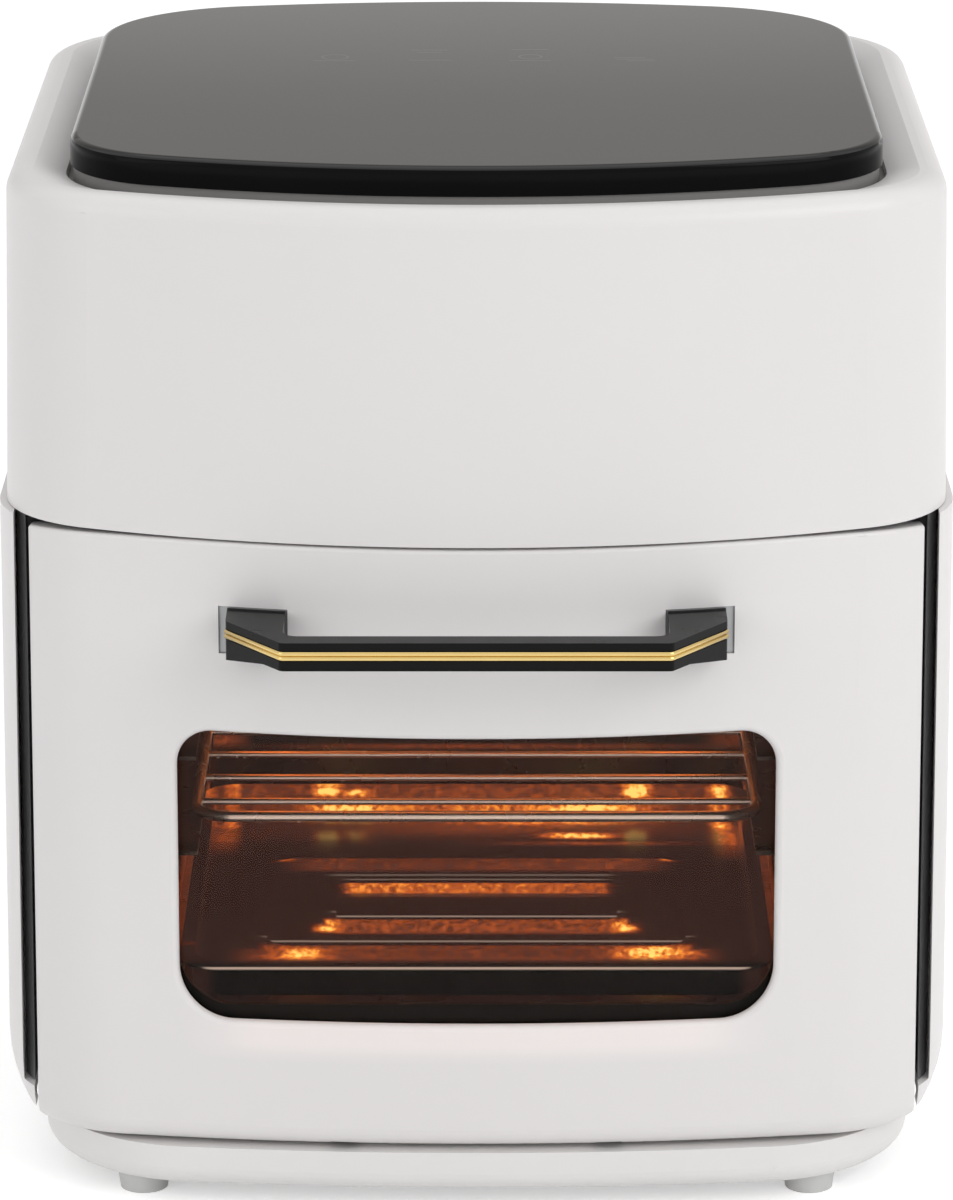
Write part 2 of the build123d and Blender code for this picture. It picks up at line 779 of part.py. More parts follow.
with BuildPart() as cooling_fan:
    disc((0, body_y), cooling_low, cooling_low + fan_plate, cooling_radius)
    disc((0, body_y), cooling_low, cooling_high, hub_radius)
    for number in range(cooling_blades):
        with BuildSketch(Plane.XY.offset(cooling_low + slip)):
            with Locations(Location((0, body_y, 0), (0, 0, number * 360 / cooling_blades))):
                with Locations(Location((blade_root + cooling_blade_length / 2, 0), cooling_blade_turn)):
                    Rectangle(cooling_blade_length, blade_sheet)
        extrude(amount=cooling_high - cooling_low - slip)
    disc((0, body_y), cooling_low, cooling_high, shaft_radius + pin_clearance, Mode.SUBTRACT)

with BuildPart() as fan_nuts:
    for low in (fan_low - nut_height, cooling_high):
        with BuildSketch(Plane.XY.offset(low)):
            with Locations((0, body_y)):
                RegularPolygon(nut_radius, 6)
        extrude(amount=nut_height)
        disc((0, body_y), low, low + nut_height, shaft_radius + pin_clearance, Mode.SUBTRACT)

# Deck: the heat shield between the cavity and the electronics
deck_hole = 20.0
deck_inset = shell_wall + seat_gap
deck_post_radius = 5.0
deck_post_inset = 20.0
deck_post_x = cavity_half_width - deck_post_inset
deck_post_front_y = body_y - 60.0
deck_post_back_y = cavity_back_y - 26.0
deck_post_places = [(x, y) for x in (-deck_post_x, deck_post_x) for y in (deck_post_front_y, deck_post_back_y)]

with BuildPart() as heat_deck:
    extrude(outline(deck_low, deck_inset), amount=deck_thickness)
    disc((0, body_y), deck_low, deck_high, deck_hole, Mode.SUBTRACT)
    for place in insulator_places:
        disc(place, deck_low, deck_high, heater_hole + 2, Mode.SUBTRACT)

with BuildPart() as deck_posts:
    for place in deck_post_places:
        disc(place, cavity_high + sheet + slip, deck_low - slip, deck_post_radius)

# Insulation blanket over the liner, cut out round what passes through it
blanket = 8.0
blanket_gap = 12.0

with BuildPart() as insulation_blanket:
    outer_x = cavity_half_width + sheet + slip + blanket
    inner_x = cavity_half_width + sheet + slip
    block((-outer_x, frame_y + 6, cavity_low), (outer_x, cavity_back_y - 2, cavity_high + sheet + slip + blanket))
    block((-inner_x, -far, 0), (inner_x, far, cavity_high + sheet + slip), Mode.SUBTRACT)
    disc((0, body_y), cavity_high, deck_low, shaft_hole + blanket_gap, Mode.SUBTRACT)
    for place in insulator_places:
        disc(place, cavity_high, deck_low, heater_hole + blanket_gap / 2, Mode.SUBTRACT)
    for place in deck_post_places:
        disc(place, cavity_high, deck_low, deck_post_radius + slip, Mode.SUBTRACT)
    rod((inner_x, lamp_y, lamp_z), (far, lamp_y, lamp_z), lamp_radius + blanket_gap / 2, Mode.SUBTRACT)

# Oven lamp in the right wall: cover, bulb and holder
with BuildPart() as lamp_cover:
    rod((cavity_half_width - 5, lamp_y, lamp_z), (cavity_half_width + 6, lamp_y, lamp_z), lamp_radius - slip)
    rod((cavity_half_width - 5, lamp_y, lamp_z), (cavity_half_width - slip, lamp_y, lamp_z), lamp_radius + 2.5)
    rod((cavity_half_width - 3, lamp_y, lamp_z), (cavity_half_width + 6, lamp_y, lamp_z), lamp_radius - 2, Mode.SUBTRACT)

with BuildPart() as lamp_bulb:
    rod((cavity_half_width + 1, lamp_y, lamp_z), (cavity_half_width + 16, lamp_y, lamp_z), 7.0)
    fillet(lamp_bulb.edges().sort_by(Axis.X)[0], 5.0)

with BuildPart() as lamp_holder:
    holder = cavity_half_width + sheet + slip
    rod((holder, lamp_y, lamp_z), (holder + 26, lamp_y, lamp_z), lamp_radius + 3)
    rod((holder, lamp_y, lamp_z), (holder + 14.9, lamp_y, lamp_z), lamp_radius + slip, Mode.SUBTRACT)
    rod((holder, lamp_y, lamp_z), (holder + 20, lamp_y, lamp_z), 7.2, Mode.SUBTRACT)

# Temperature probe through the back wall
with BuildPart() as temperature_probe:
    rod((probe_x, cavity_back_y - 24, probe_z), (probe_x, cavity_back_y + 12, probe_z), probe_radius)
    rod((probe_x, cavity_back_y + sheet + slip, probe_z), (probe_x, cavity_back_y + 6, probe_z), 7.0)

# Top housing: the white upper shell with its rounded rim and the sloping channel round the cover
grille_width = 110.0
grille_height = 36.0
grille_rise = 46.8
grille_middle = seam_height + grille_rise
vent_round = 4.0


def crown(low, high, inset_low, inset_high, mode=Mode.ADD):
    """Adds or cuts the upper form between two heights, each with its own inset."""
    rise = rim_height - seam_height
    lower = outline(low, inset_low, crown_narrowing * (low - seam_height) / rise)
    upper = outline(high, inset_high, crown_narrowing * (high - seam_height) / rise)
    loft([lower, upper], ruled=True, mode=mode)


def rear_opening(width, height, radius, y_low, y_high, mode):
    """Adds, cuts or keeps the exhaust opening's rounded shape."""
    with BuildSketch(Plane.XZ.offset(-y_high)) as shape:
        with Locations((0, grille_middle)):
            RectangleRounded(width, height, radius)
    extrude(shape.sketch, amount=y_high - y_low, mode=mode)


def cover_plan(z, inset):
    """The touch cover's outline at height z, moved inwards from the body's by inset."""
    return outline(z, inset, crown_narrowing, cover_corners, cover_shifts)


grille_near_y = back_y - back_corner

with BuildPart() as top_housing:
    crown(seam_height, rim_height, 0, 0)
    fillet(top_housing.faces().sort_by(Axis.Z)[-1].edges(), rim_round)
    crown(seam_height, recess_floor - shell_wall, shell_wall, shell_wall, Mode.SUBTRACT)
    hole = cover_plan(recess_floor, recess_hole_inset)
    recess = outline(rim_height, recess_inset, crown_narrowing, shifts=recess_shifts)
    loft([hole, recess], ruled=True, mode=Mode.SUBTRACT)
    extrude(hole, amount=-2 * shell_wall, mode=Mode.SUBTRACT)
    rear_opening(grille_width, grille_height, vent_round, grille_near_y, far, Mode.SUBTRACT)

# Exhaust grille in the top housing's back
louvre_pitch = 6.0
louvre_open = 3.4
louvre_rows = 5
louvre_columns = 2
grille_proud = 0.8
grille_depth = 2.4
grille_flange = 4.0

with BuildPart() as grille_rim:
    crown(seam_height, rim_height, -grille_proud, -grille_proud)
    width = grille_width + 2 * grille_flange
    height = grille_height + 2 * grille_flange
    rear_opening(width, height, vent_round + grille_flange, grille_near_y, far, Mode.INTERSECT)
    crown(seam_height, rim_height, -slip, -slip, Mode.SUBTRACT)

with BuildPart() as exhaust_grille:
    crown(seam_height, rim_height, -grille_proud, -grille_proud)
    width = grille_width - 2 * slip
    height = grille_height - 2 * slip
    rear_opening(width, height, vent_round, grille_near_y, far, Mode.INTERSECT)
    crown(seam_height, rim_height, grille_depth, grille_depth, Mode.SUBTRACT)
    add(grille_rim.part)
    with BuildSketch(Plane.XZ.offset(-far)):
        with Locations((0, grille_middle)):
            with GridLocations(grille_width / louvre_columns, louvre_pitch, louvre_columns, louvre_rows):
                SlotOverall(grille_width / louvre_columns - 2 * grille_flange, louvre_open)
    extrude(amount=far - grille_near_y, mode=Mode.SUBTRACT)

# Touch cover: the raised black slab, hollow underneath
with BuildPart() as touch_cover:
    extrude(cover_plan(cover_low, cover_inset), amount=cover_height)
    fillet(touch_cover.faces().sort_by(Axis.Z)[-1].edges(), cover_round)
    hollow = cover_plan(cover_low, cover_inset + cover_wall)
    extrude(hollow, amount=cover_height - cover_wall, mode=Mode.SUBTRACT)

# Panel carrier under the cover
carrier_inset = 15.5
neck_inset = 1.0
boss_radius = 3.0
board_drop = 14.4
carrier_sheet = 2.4
carrier_top = recess_floor - shell_wall - slip
carrier_high = cover_low - slip
board_low = recess_floor - board_drop
board_thickness = 1.6
board_size = (190.0, 120.0)
boss_inset = 11.0
boss_x = board_size[0] / 2 - boss_inset
boss_y = board_size[1] / 2 - boss_inset
boss_places = [(x, body_y + y) for x in (-boss_x, boss_x) for y in (-boss_y, boss_y)]

with BuildPart() as panel_carrier:
    extrude(cover_plan(carrier_top - carrier_sheet, carrier_inset), amount=carrier_sheet)
    extrude(cover_plan(carrier_top, cover_inset + neck_inset), amount=carrier_high - carrier_top)
    hollow = cover_plan(carrier_top - carrier_sheet, cover_inset + cover_wall)
    extrude(hollow, amount=carrier_high - carrier_top, mode=Mode.SUBTRACT)
    for place in boss_places:
        disc(place, board_low + board_thickness + slip, carrier_high, boss_radius)

with BuildPart() as display_board:
    block(
        (-board_size[0] / 2, body_y - board_size[1] / 2, board_low),
        (board_size[0] / 2, body_y + board_size[1] / 2, board_low + board_thickness),
    )
    block((-40, body_y - 20, board_low + board_thickness), (40, body_y + 10, board_low + 8))
    block((-70, body_y + 30, board_low - 6), (-50, body_y + 44, board_low))

# Power board on the deck
power_x = (-138.0, -62.0)
power_y = (body_y - 40.0, body_y + 60.0)
power_rise = 8.0
power_low = deck_high + power_rise
power_top = power_low + board_thickness
power_post_inset = 6.0
power_post_radius = 3.0
power_posts = [(x + way * power_post_inset, y + turn * power_post_inset)
               for x, way in zip(power_x, (1, -1)) for y, turn in zip(power_y, (1, -1))]
power_blocks = [((-128.0, -24.0), (-100.0, 2.0), 24.4), ((-128.0, 16.0), (-106.0, 40.0), 16.4)]
power_cans = [((-84.0, 24.0), 9.0, 28.4), ((-84.0, -10.0), 6.0, 18.4)]

with BuildPart() as power_board:
    block((power_x[0], power_y[0], power_low), (power_x[1], power_y[1], power_top))
    for low, high, height in power_blocks:
        block((low[0], body_y + low[1], power_top), (high[0], body_y + high[1], power_top + height))
    for place, radius, height in power_cans:
        disc((place[0], body_y + place[1]), power_top, power_top + height, radius)

with BuildPart() as board_posts:
    for place in power_posts:
        disc(place, deck_high, power_low - slip, power_post_radius)

# Door shell: a hollow curved shell with side, top and bottom walls
with BuildPart() as door_hollow:
    body_form(shell_wall)
    half = door_half_width - door_side_wall
    block((-half, -far, door_bottom + door_side_wall), (half, door_back_y, door_top), Mode.INTERSECT)
    swing_keep(door_swing - door_side_wall)

pad_low = handle_top + 0.8 - pad_height
pad_middle = handle_back_half + 3 - pad_width / 2
hinge_slot_half = hinge_arm_half + 0.6
hinge_slot_front = 5.0

with BuildPart() as door_shell:
    body_form(0)
    half = door_half_width
    block((-half, -far, door_bottom), (half, door_back_y, seam_height), Mode.INTERSECT)
    swing_keep(door_swing)
    sole = door_shell.faces().sort_by(Axis.Z)[0]
    toe = sole.edges().filter_by_position(Axis.X, slip - half, half - slip)
    fillet(toe.filter_by_position(Axis.Y, -far, door_back_y - slip), door_toe_round)
    for side in (-1, 1):
        x = side * half
        edges = door_shell.edges().filter_by_position(Axis.X, x - slip, x + slip)
        fillet(edges.sort_by(SortBy.LENGTH)[-2:].sort_by(Axis.Y)[0], door_edge_round)
    roof = door_shell.faces().sort_by(Axis.Z)[-1]
    brow = roof.edges().filter_by_position(Axis.X, slip - half, half - slip)
    fillet(brow.filter_by_position(Axis.Y, -far, door_back_y - slip), door_brow_round)
    add(door_hollow.part, mode=Mode.SUBTRACT)
    window_block(0, -far, door_core_y, Mode.SUBTRACT)
    face = door_shell.faces().sort_by(Axis.Y)[0]
    fillet(face.inner_wires()[0].edges(), window_lip)
    core = core_half_width
    block((-core, door_core_y, 0), (core, door_back_y, core_top), Mode.SUBTRACT)
    for x in (-hinge_x, hinge_x):
        half = hinge_slot_half
        low = (x - half, hinge_y - hinge_slot_front, 0)
        block(low, (x + half, door_core_y, door_bottom + door_side_wall + slip), Mode.SUBTRACT)
    for side in (-1, 1):
        pad_x = side * pad_middle
        half = pad_width / 2
        block((pad_x - half, -far, pad_low), (pad_x + half, door_core_y - 6, pad_low + pad_height), Mode.SUBTRACT)

# Door liner: the black inner frame, a rear plate with a tub that takes the cavity collar
liner_low = door_bottom + door_side_wall + slip
liner_half = door_half_width - door_side_wall - slip
liner_inner = core_half_width + door_liner_sheet
liner_roof = core_top + door_liner_sheet
liner_window_margin = 0.5

with BuildPart() as door_liner:
    block((-liner_half, door_core_y - door_liner_sheet, liner_low), (liner_half, door_back_y, door_top))
    swing_keep(door_swing - door_side_wall - slip)
    shelf_y = door_back_y - door_liner_sheet
    block((-far, -far, 0), (-liner_inner, shelf_y, far), Mode.SUBTRACT)
    block((liner_inner, -far, 0), (far, shelf_y, far), Mode.SUBTRACT)
    block((-liner_inner, -far, liner_roof), (liner_inner, shelf_y, far), Mode.SUBTRACT)
    block((-core_half_width, door_core_y, 0), (core_half_width, far, core_top), Mode.SUBTRACT)
    window_block(liner_window_margin, -far, far, Mode.SUBTRACT)
    for x in (-hinge_x, hinge_x):
        low = (x - hinge_slot_half, -far, 0)
        block(low, (x + hinge_slot_half, far, hinge_z + hinge_arm_high + 1.1), Mode.SUBTRACT)

# Window: outer pane bent to the door's curve, its seal, and the flat inner pane with clips
seal_inset = shell_wall + slip / 2
seal_window_margin = 0.3

with BuildPart() as window_seal:
    body_form(seal_inset)
    window_block(glass_margin, -far, door_core_y, Mode.INTERSECT)
    body_form(seal_inset + seal_thickness, Mode.SUBTRACT)
    window_block(seal_window_margin, -far, door_core_y, Mode.SUBTRACT)

with BuildPart() as outer_glass:
    body_form(outer_inset)
    window_block(glass_margin, -far, door_core_y, Mode.INTERSECT)
    body_form(outer_inset + outer_glass_thickness, Mode.SUBTRACT)

with BuildPart() as inner_glass:
    window_block(glass_margin, inner_pane_y - inner_glass_thickness, inner_pane_y, Mode.ADD)

clip_half = 6.0
clip_rise = 30.0
clip_hold = 4.0
clip_room = 1.2
clip_sheet = 1.1
clip_foot = 9.0

with BuildPart() as glass_clips:
    tongue_y = inner_pane_y - inner_glass_thickness - slip
    edge = pane_width / 2 + clip_room
    spans = [
        (edge - clip_hold, edge + clip_sheet, tongue_y - clip_sheet, tongue_y),
        (edge, edge + clip_sheet, tongue_y - clip_sheet, inner_pane_y),
        (edge, edge + clip_foot, inner_pane_y - clip_sheet, inner_pane_y),
    ]
    for side in (-1, 1):
        for z in (window_middle - clip_rise, window_middle + clip_rise):
            for x_low, x_high, y_low, y_high in spans:
                xs = sorted((side * x_low, side * x_high))
                block((xs[0], y_low, z - clip_half), (xs[1], y_high, z + clip_half))

# Handle: a bridge with slanted ends, its metal trim, pads and screws
bar_front_y = front_y - handle_reach + trim_proud
screw_radius = 1.8
screw_x = handle_back_half - handle_leg_width / 2
screw_z = handle_top - 7.2
screw_seat_y = front_y + 14.0
screw_tip = 6.0
bar_back_y = bar_front_y + handle_bar_depth
leg_inner = handle_back_half - handle_leg_width
shoulder_y = front_y - handle_shoulder
screw_tip_y = shoulder_y - screw_tip
leg_end_y = front_y + 16.0
trim_high = handle_top - trim_drop
trim_low = trim_high - trim_height


def handle_plan(grow, end_y):
    """The handle's outer plan corners, grown outwards by a distance, ending at end_y."""
    slope = math.atan2(handle_back_half - handle_front_half, shoulder_y - bar_front_y)
    front_x = handle_front_half + grow * math.tan((math.pi / 2 - slope) / 2)
    back_x = handle_back_half + grow
    turn_y = shoulder_y - grow * math.tan(slope / 2)
    right = [(front_x, bar_front_y - grow), (back_x, turn_y), (back_x, end_y)]
    return [mirrored(point) for point in reversed(right)] + right


def handle_slab(low, high, grow, end_y, mode=Mode.ADD):
    """Adds or cuts the handle's outer plan between two heights."""
    with BuildSketch(Plane.XY.offset(low)) as plan:
        Polygon(*handle_plan(grow, end_y), align=None)
    extrude(plan.sketch, amount=high - low, mode=mode)


with BuildPart() as handle_groove:
    handle_slab(trim_low - slip, trim_high + slip, trim_proud + 1, shoulder_y + 1)
    handle_slab(trim_low - slip, trim_high + slip, -trim_sunk - slip, leg_end_y, Mode.SUBTRACT)

with BuildPart() as handle_bar:
    handle_slab(handle_low, handle_top, 0, leg_end_y)
    block((-leg_inner, bar_back_y, 0), (leg_inner, far, far), Mode.SUBTRACT)
    uprights = handle_bar.edges().filter_by(Axis.Z)
    fillet(uprights.filter_by_position(Axis.Y, bar_back_y - slip, bar_back_y + slip), 5.0)
    uprights = handle_bar.edges().filter_by(Axis.Z)
    fillet(uprights.filter_by_position(Axis.Y, bar_front_y - slip, shoulder_y + slip), 2.5)
    with BuildSketch(Plane.YZ.offset(-far / 2)):
        rise = handle_leg_height - handle_bar_height
        Polygon(
            (bar_front_y - 1, handle_low - 1),
            (bar_front_y - 1, handle_low + rise),
            (bar_back_y, handle_low + rise),
            (front_y, handle_low),
            (front_y, handle_low - 1),
            align=None,
        )
    extrude(amount=far, mode=Mode.SUBTRACT)
    body_form(pad_sunk - slip, Mode.SUBTRACT)
    add(handle_groove.part, mode=Mode.SUBTRACT)
    for side in (-1, 1):
        rod((side * screw_x, screw_tip_y - 1, screw_z), (side * screw_x, far, screw_z), screw_radius + slip, Mode.SUBTRACT)

with BuildPart() as handle_trim:
    handle_slab(trim_low, trim_high, trim_proud, shoulder_y + 1)
    handle_slab(trim_low, trim_high, -trim_sunk, leg_end_y, Mode.SUBTRACT)

with BuildPart() as handle_pads:
    for side in (-1, 1):
        half = pad_width / 2 - slip
        pad_x = side * pad_middle
        low = (pad_x - half, -far, pad_low + slip)
        block(low, (pad_x + half, door_core_y, pad_low + pad_height - slip))
    body_form(pad_sunk, Mode.INTERSECT)
    body_form(pad_sunk + pad_thickness, Mode.SUBTRACT)
    for side in (-1, 1):
        rod((side * screw_x, -far, screw_z), (side * screw_x, far, screw_z), screw_radius + slip, Mode.SUBTRACT)

with BuildPart() as handle_screws:
    for side in (-1, 1):
        x = side * screw_x
        rod((x, screw_tip_y, screw_z), (x, screw_seat_y, screw_z), screw_radius)
        rod((x, screw_seat_y, screw_z), (x, screw_seat_y + screw_head, screw_z), screw_head_radius)

# Hinge arms on the frame, brackets and pins in the door
bracket_inner = hinge_arm_half + 0.4
bracket_ear = 2.0
bracket_top = hinge_z + 16.0
bracket_back_y = door_core_y - door_liner_sheet - slip
pin_half = bracket_inner + bracket_ear + 0.4


def hinge_arm(side):
    """The fixed arm: a knuckle on the hinge's axis, a bar and a flange inside the frame."""
    x = side * hinge_x
    flange_y = collar_y + frame_wall + seat_gap
    with BuildPart() as arm:
        block(
            (x - hinge_arm_half, hinge_y, hinge_z - hinge_arm_low),
            (x + hinge_arm_half, flange_y + 1.5, hinge_z + hinge_arm_high),
        )
        rod((x - hinge_arm_half, hinge_y, hinge_z), (x + hinge_arm_half, hinge_y, hinge_z), hinge_knuckle)
        block((x - 9, flange_y, frame_low + frame_wall + 0.5), (x + 9, flange_y + 1.5, hinge_z + 10))
        rod((x - far, hinge_y, hinge_z), (x + far, hinge_y, hinge_z), pin_radius + pin_clearance, Mode.SUBTRACT)
    return arm


def hinge_bracket(side):
    """The door's bracket: two ears for the pin, joined by a plate above the knuckle."""
    x = side * hinge_x
    with BuildPart() as bracket:
        for way in (-1, 1):
            xs = sorted((x + way * bracket_inner, x + way * (bracket_inner + bracket_ear)))
            rod((xs[0], hinge_y, hinge_z), (xs[1], hinge_y, hinge_z), hinge_knuckle - 0.3)
            block((xs[0], hinge_y - 3, hinge_z), (xs[1], bracket_back_y, bracket_top))
        half = bracket_inner + bracket_ear
        block((x - half, bracket_back_y - 1.5, hinge_z + 6), (x + half, bracket_back_y, bracket_top))
        rod((x - far, hinge_y, hinge_z), (x + far, hinge_y, hinge_z), pin_radius + slip / 5, Mode.SUBTRACT)
    return bracket


hinge_arm_right = hinge_arm(1)
hinge_arm_left = hinge_arm(-1)
hinge_bracket_right = hinge_bracket(1)
hinge_bracket_left = hinge_bracket(-1)

with BuildPart() as hinge_pins:
    for side in (-1, 1):
        x = side * hinge_x
        rod((x - pin_half, hinge_y, hinge_z), (x + pin_half, hinge_y, hinge_z), pin_radius)

# Door magnets, catch plates and the switch that senses the door
magnet_inset = 17.0
magnet_drop = 18.0
magnet_x = door_half_width - magnet_inset
magnet_z = door_top - magnet_drop
magnet = (14.0, 5.0, 8.0)

with BuildPart() as door_magnets:
    for side in (-1, 1):
        x = side * magnet_x
        y = door_back_y - door_liner_sheet - slip
        low = (x - magnet[0] / 2, y - magnet[1], magnet_z - magnet[2] / 2)
        block(low, (x + magnet[0] / 2, y, magnet_z + magnet[2] / 2))

with BuildPart() as catch_plates:
    for side in (-1, 1):
        x = side * magnet_x
        y = frame_y + frame_wall + slip
        block((x - 9, y, magnet_z - 6), (x + 9, y + 1.5, magnet_z + 6))

with BuildPart() as door_switch:
    y = frame_y + frame_wall + slip
    block((-magnet_x - 9, y, magnet_z - 34), (-magnet_x + 9, y + 9, magnet_z - 22))
    block((-magnet_x - 6, y + 9, magnet_z - 31), (-magnet_x - 4, y + 15, magnet_z - 29))
    block((-magnet_x + 4, y + 9, magnet_z - 31), (-magnet_x + 6, y + 15, magnet_z - 29))

pieces = {
    "base_pan": base_pan,
    "rubber_feet": rubber_feet,
    "foot_screws": foot_screws,
    "side_panel_right": side_panel_right,
    "side_panel_left": side_panel_left,
    "rear_cover": rear_cover,
    "cable_gland": cable_gland,
    "front_frame": front_frame,
    "door_gasket": door_gasket,
    "cavity_liner": cavity_liner,
    "liner_rails": liner_rails,
    "insulation_blanket": insulation_blanket,
    "rack_guide_right": rack_guide_right,
    "rack_guide_left": rack_guide_left,
    "wire_rack": wire_rack,
    "drip_tray": drip_tray,
    "heating_element": heating_element,
    "heater_clips": heater_clips,
    "element_guard": element_guard,
    "hot_air_fan": hot_air_fan,
    "motor_housing": motor_housing,
    "motor_stator": motor_stator,
    "motor_bushes": motor_bushes,
    "motor_rotor": motor_rotor,
    "motor_shaft": motor_shaft,
    "motor_posts": motor_posts,
    "motor_screws": motor_screws,
    "cooling_fan": cooling_fan,
    "fan_nuts": fan_nuts,
    "heat_deck": heat_deck,
    "deck_posts": deck_posts,
    "lamp_cover": lamp_cover,
    "lamp_bulb": lamp_bulb,
    "lamp_holder": lamp_holder,
    "temperature_probe": temperature_probe,
    "top_housing": top_housing,
    "exhaust_grille": exhaust_grille,
    "touch_cover": touch_cover,
    "panel_carrier": panel_carrier,
    "display_board": display_board,
    "power_board": power_board,
    "board_posts": board_posts,
    "door_shell": door_shell,
    "door_liner": door_liner,
    "window_seal": window_seal,
    "outer_glass": outer_glass,
    "inner_glass": inner_glass,
    "glass_clips": glass_clips,
    "handle_bar": handle_bar,
    "handle_trim": handle_trim,
    "handle_pads": handle_pads,
    "handle_screws": handle_screws,
    "hinge_arm_right": hinge_arm_right,
    "hinge_arm_left": hinge_arm_left,
    "hinge_bracket_right": hinge_bracket_right,
    "hinge_bracket_left": hinge_bracket_left,
    "hinge_pins": hinge_pins,
    "door_magnets": door_magnets,
    "catch_plates": catch_plates,
    "door_switch": door_switch,
}

os.makedirs("parts", exist_ok=True)
for name, piece in pieces.items():
    piece.part.label = name
    export_step(piece.part, f"parts/{name}.step")
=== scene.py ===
import math

import bpy
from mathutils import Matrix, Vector


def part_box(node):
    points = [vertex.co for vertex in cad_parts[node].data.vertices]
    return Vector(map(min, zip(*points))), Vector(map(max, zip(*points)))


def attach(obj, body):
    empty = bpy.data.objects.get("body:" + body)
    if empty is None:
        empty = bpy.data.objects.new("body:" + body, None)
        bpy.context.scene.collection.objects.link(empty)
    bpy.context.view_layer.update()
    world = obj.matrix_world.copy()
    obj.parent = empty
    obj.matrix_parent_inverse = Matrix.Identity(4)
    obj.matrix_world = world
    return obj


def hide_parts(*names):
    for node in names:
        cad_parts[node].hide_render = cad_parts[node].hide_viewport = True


# The visual model of a countertop air fryer oven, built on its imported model
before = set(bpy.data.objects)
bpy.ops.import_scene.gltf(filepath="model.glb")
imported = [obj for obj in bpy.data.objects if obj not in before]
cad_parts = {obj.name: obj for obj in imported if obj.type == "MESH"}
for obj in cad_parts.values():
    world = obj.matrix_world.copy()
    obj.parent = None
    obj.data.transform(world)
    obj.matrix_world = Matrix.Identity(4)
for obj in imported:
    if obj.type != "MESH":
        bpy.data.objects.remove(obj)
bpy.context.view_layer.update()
scene = bpy.context.scene
scene.view_settings.view_transform = "Standard"

MM = 1000  # millimetres in a metre
BLACK = (0, 0, 0, 1)
WHITE = (1, 1, 1, 1)

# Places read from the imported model, in metres
BODY_LOW, BODY_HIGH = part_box("top_housing")
BODY_Y = (BODY_LOW.y + BODY_HIGH.y) / 2
PANE_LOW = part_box("outer_glass")[0]
TRIM_LOW, TRIM_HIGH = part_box("handle_trim")


# Node helpers

def new_material(name):
    """A new material, its node tree and its Principled shader."""
    mat = bpy.data.materials.new(name)
    mat.use_nodes = True
    tree = mat.node_tree
    return mat, tree, tree.nodes["Principled BSDF"]


def put(tree, value, socket):
    """Gives a socket a value or a link."""
    if isinstance(value, bpy.types.NodeSocket):
        tree.links.new(value, socket)
    else:
        socket.default_value = value


def node(tree, kind, inputs=None, **settings):
    """A new node with its settings and its input values or links."""
    made = tree.nodes.new(kind)
    for key, value in settings.items():
        setattr(made, key, value)
    for key, value in (inputs or {}).items():
        put(tree, value, made.inputs[key])
    return made


def coordinates(tree, stretch=(1, 1, 1)):
    """Object coordinates in metres, stretched per axis."""
    place = node(tree, "ShaderNodeTexCoord").outputs["Object"]
    mapped = node(tree, "ShaderNodeMapping", {"Vector": place, "Scale": stretch})
    return mapped.outputs["Vector"]


def parts_of(tree, vector):
    """The three parts of a vector, by letter."""
    split = node(tree, "ShaderNodeSeparateXYZ", {"Vector": vector})
    return {"x": split.outputs[0], "y": split.outputs[1], "z": split.outputs[2]}


def calculate(tree, operation, *values):
    """One step of arithmetic on numbers or links."""
    made = node(tree, "ShaderNodeMath", dict(enumerate(values)), operation=operation)
    return made.outputs[0]


NOISE_ROUGHNESS = 0.55
NOISE_LOW, NOISE_HIGH = 0.3, 0.7  # nearly all of a noise factor lies between these


def noise(tree, vector, scale, detail=3.0):
    """A noise factor."""
    values = {"Vector": vector, "Scale": scale, "Detail": detail, "Roughness": NOISE_ROUGHNESS}
    return node(tree, "ShaderNodeTexNoise", values).outputs["Fac"]


def spread(tree, factor, low, high):
    """Maps a noise factor to a range."""
    values = {"Value": factor, "From Min": NOISE_LOW, "From Max": NOISE_HIGH,
              "To Min": low, "To Max": high}
    return node(tree, "ShaderNodeMapRange", values).outputs["Result"]


def step(tree, value, low, high, start=0.0, end=1.0, course="SMOOTHSTEP"):
    """Runs from start to end while the value goes from low to high."""
    values = {"Value": value, "From Min": low, "From Max": high, "To Min": start, "To Max": end}
    made = node(tree, "ShaderNodeMapRange", values, interpolation_type=course)
    return made.outputs["Result"]


def patch_mask(tree, place, strength, **spans):
    """A soft-edged patch: per axis its middle, half size and half the width of its edge, in mm."""
    mask = strength
    for axis, (middle, half, soft) in spans.items():
        away = calculate(tree, "ABSOLUTE", calculate(tree, "SUBTRACT", place[axis], middle / MM))
        fade = step(tree, away, max(0.0, half - soft) / MM, (half + soft) / MM, 1.0, 0.0)
        mask = calculate(tree, "MULTIPLY", mask, fade)
    return mask


def add_up(tree, masks):
    """The sum of the masks."""
    total = masks[0]
    for mask in masks[1:]:
        total = calculate(tree, "ADD", total, mask)
    return total


def patch_sum(tree, place, patches):
    """The sum of soft-edged patches, each given by its level and its spans."""
    return add_up(tree, [patch_mask(tree, place, level, **spans) for level, spans in patches])


def blend_colours(tree, factor, first, second):
    """Mixes two colours by a factor."""
    mix = node(tree, "ShaderNodeMix", data_type="RGBA")
    wanted = (("Factor", "VALUE", factor), ("A", "RGBA", first), ("B", "RGBA", second))
    for name, kind, value in wanted:
        put(tree, value, next(s for s in mix.inputs if s.name == name and s.type == kind))
    return next(s for s in mix.outputs if s.type == "RGBA")


def ramp(tree, factor, stops):
    """A colour ramp through the stops."""
    made = node(tree, "ShaderNodeValToRGB", {"Fac": factor})
    band = made.color_ramp
    while len(band.elements) < len(stops):
        band.elements.new(1.0)
    for element, (position, colour) in zip(band.elements, stops):
        element.position = position
        element.color = (*colour, 1.0)
    return made.outputs["Color"]


